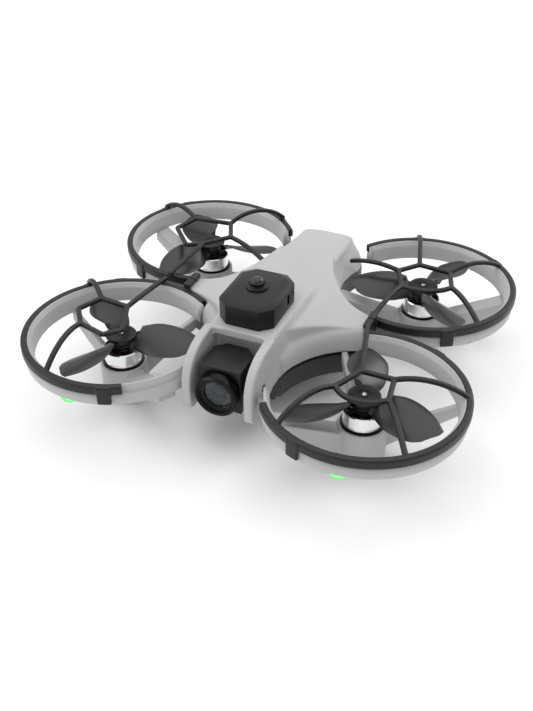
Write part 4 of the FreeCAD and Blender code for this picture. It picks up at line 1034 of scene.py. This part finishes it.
front = -LENS_FRONT
seat = -CASE_FRONT
barrel = bmesh.new()
spun(barrel, [(6.7, seat - 4.5), (8.5, seat - 4.5), (8.6, seat), (9.7, seat), (9.9, seat + 0.4),
              (9.9, seat + 1.2),
              (10.25, seat + 1.5), (10.25, front - 0.8), (9.5, front), (8.9, front), (8.7, front - 0.35),
              (8.2, front - 0.35), (8.1, front - 0.9), (7.5, front - 0.9), (7.4, front - 1.5),
              (6.7, front - 1.9)],
     ORIGIN, step=4.0)
ridge = bmesh.new()
cuboid(ridge, (-0.18, -0.22, seat + 1.9), (0.03, 0.22, front - 1.2))
ridges = ring_of("ridges", piece_from("ridge", ridge), 72, 10.26, ORIGIN, 0.0, barrel_black)
in_metres([facing_nose(piece_from("barrel", barrel)), facing_nose(ridges)], "lens_rings", barrel_black,
          "case_black",
          "camera", "lens_barrel")

lens_clear = bpy.data.materials.new("coated_lens_glass")
lens_clear.use_nodes = True
shader = lens_clear.node_tree.nodes["Principled BSDF"]
shader.inputs["Base Color"].default_value = (0.90, 0.96, 0.97, 1.0)
shader.inputs["Roughness"].default_value = 0.02
shader.inputs["Specular IOR Level"].default_value = 0.25
shader.inputs["Transmission Weight"].default_value = 1.0
shader.inputs["IOR"].default_value = 1.3
front_glass = bmesh.new()
lathe(front_glass, [(0.0, front - 3.4), (3.0, front - 3.5), (6.6, front - 4.2), (6.6, front - 2.2),
                    (5.7, front - 1.75),
                    (4.4, front - 1.35), (2.9, front - 1.08), (1.5, front - 0.95), (0.0, front - 0.91)],
      ORIGIN, step=6.0)
in_metres([facing_nose(piece_from("glass", front_glass))], "front_element", lens_clear, "lens_glass",
          "camera", "lens_glass")

element_tint = bpy.data.materials.new("inner_element_coating")
element_tint.use_nodes = True
tree = element_tint.node_tree
shader = tree.nodes["Principled BSDF"]
shader.inputs["Roughness"].default_value = 0.08
shader.inputs["Specular IOR Level"].default_value = 0.25
tilt = tree.nodes.new("ShaderNodeLayerWeight")
tilt.inputs["Blend"].default_value = 0.45
tint = tree.nodes.new("ShaderNodeValToRGB")
tint.color_ramp.elements[0].color = (0.004, 0.007, 0.009, 1.0)
tint.color_ramp.elements[1].color = (0.030, 0.028, 0.050, 1.0)
tree.links.new(tilt.outputs["Facing"], tint.inputs["Fac"])
tree.links.new(tint.outputs["Color"], shader.inputs["Base Color"])
inner = bmesh.new()
lathe(inner, [(0.0, seat - 3.6), (6.6, seat - 3.6), (6.6, front - 4.9), (5.3, front - 5.1),
              (5.2, front - 5.4),
              (4.3, front - 5.5), (4.2, front - 5.9), (3.1, front - 5.9), (2.9, front - 5.5),
              (2.0, front - 5.1),
              (1.0, front - 4.85), (0.0, front - 4.75)], ORIGIN, step=6.0)
in_metres([facing_nose(piece_from("inner", inner))], "inner_element", element_tint, "lens_glass", "camera")


# ------------------------------------------------------------------ roof unit
# A matt black box with cut corners stands at the front of the roof, clipped down
# from inside. A round bezel on top carries a small glossy dome.

recast("roof_unit_case", "roof_unit", 0.45, case_black, segments=3)
dome_black = moulded_plastic("dome_black_gloss", (0.006, 0.006, 0.007), (0.02, 0.02, 0.02), (0.05, 0.10),
                             grain=(3000.0, 0.02), wear_and_highlight=0.1)
low, high = (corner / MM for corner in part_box("dome_bezel"))
middle = Vector(((low.x + high.x) / 2, (low.y + high.y) / 2, 0.0))
bezel = bmesh.new()
spun(bezel, [(2.9, low.z), (5.3, low.z), (5.3, high.z - 0.5), (4.9, high.z), (4.2, high.z),
             (4.0, high.z - 0.3),
             (3.4, high.z - 0.3), (3.2, high.z), (2.9, high.z - 0.1)], middle, step=5.0)
in_metres([piece_from("bezel", bezel)], "dome_ring", case_black, "case_black", "airframe", "dome_bezel")
recast("dome_knob", "dome_ball", 0.05, dome_black, segments=1)


# ------------------------------------------------------------------ lamps
# A clear half-ellipsoid lens is glued under each duct over a small lamp. The front
# pair glow green with a white-hot middle; the rear pair are unlit but carry a faint painted grey glow,
# brighter in the middle.

def lamp_finish(name, base, edge, core, strength):
    material = bpy.data.materials.new(name)
    material.use_nodes = True
    tree = material.node_tree
    shader = tree.nodes["Principled BSDF"]
    shader.inputs["Base Color"].default_value = (*base, 1.0)
    shader.inputs["Roughness"].default_value = 0.08
    shader.inputs["Transmission Weight"].default_value = 0.2
    shader.inputs["Emission Strength"].default_value = strength
    view = tree.nodes.new("ShaderNodeLayerWeight")
    view.inputs["Blend"].default_value = 0.35
    glow = tree.nodes.new("ShaderNodeValToRGB")
    glow.color_ramp.elements[0].color = (*core, 1.0)
    glow.color_ramp.elements[0].position = 0.08
    glow.color_ramp.elements[1].color = (*edge, 1.0)
    glow.color_ramp.elements[1].position = 0.5
    tree.links.new(view.outputs["Facing"], glow.inputs["Fac"])
    tree.links.new(glow.outputs["Color"], shader.inputs["Emission Color"])
    return material


green_glow = lamp_finish("lamp_green_lit", (0.03, 0.30, 0.05), (0.01, 0.50, 0.03), (0.50, 1.0, 0.55), 0.9)
# the rear lenses' emission is a painted glow: those lamps are unlit
unlit_lamp_painted_glow = lamp_finish("lamp_clear_painted_glow", (0.8, 0.8, 0.8), (0.5, 0.5, 0.5), (0.6, 0.6, 0.6), 0.15)
for name in ROTORS:
    recast("lamp_lens_" + name, "lamp_" + name, 0.05, green_glow if name.startswith("front") else unlit_lamp_painted_glow,
           segments=1)


# ------------------------------------------------------------------ inside parts, button and socket
# Two circuit boards on soft posts, a pouch battery and a charging socket sit in
# the tub; a small round button pushes forward through the shell's tail.

circuit_green = moulded_plastic("circuit_solder_mask", (0.008, 0.03, 0.014), (0.03, 0.08, 0.04), (0.20, 0.32))
battery_film = moulded_plastic("battery_shrink_film", (0.03, 0.03, 0.04), (0.06, 0.06, 0.07), (0.22, 0.40))
recast("flight_board", "flight_electronics", 0.1, circuit_green)
recast("video_board", "video_electronics", 0.1, circuit_green)
recast("board_grommets", "board_posts", 0.2, soft_rubber)
recast("battery", "battery_pack", 1.2, battery_film, segments=4)
recast("charge_socket", "charge_port", 0.12, bright_steel)
recast("cover_screws", "tub_screws", 0.15, screw_black)
recast("power_button", "button_cap", 0.3, case_black, body="button", segments=3)
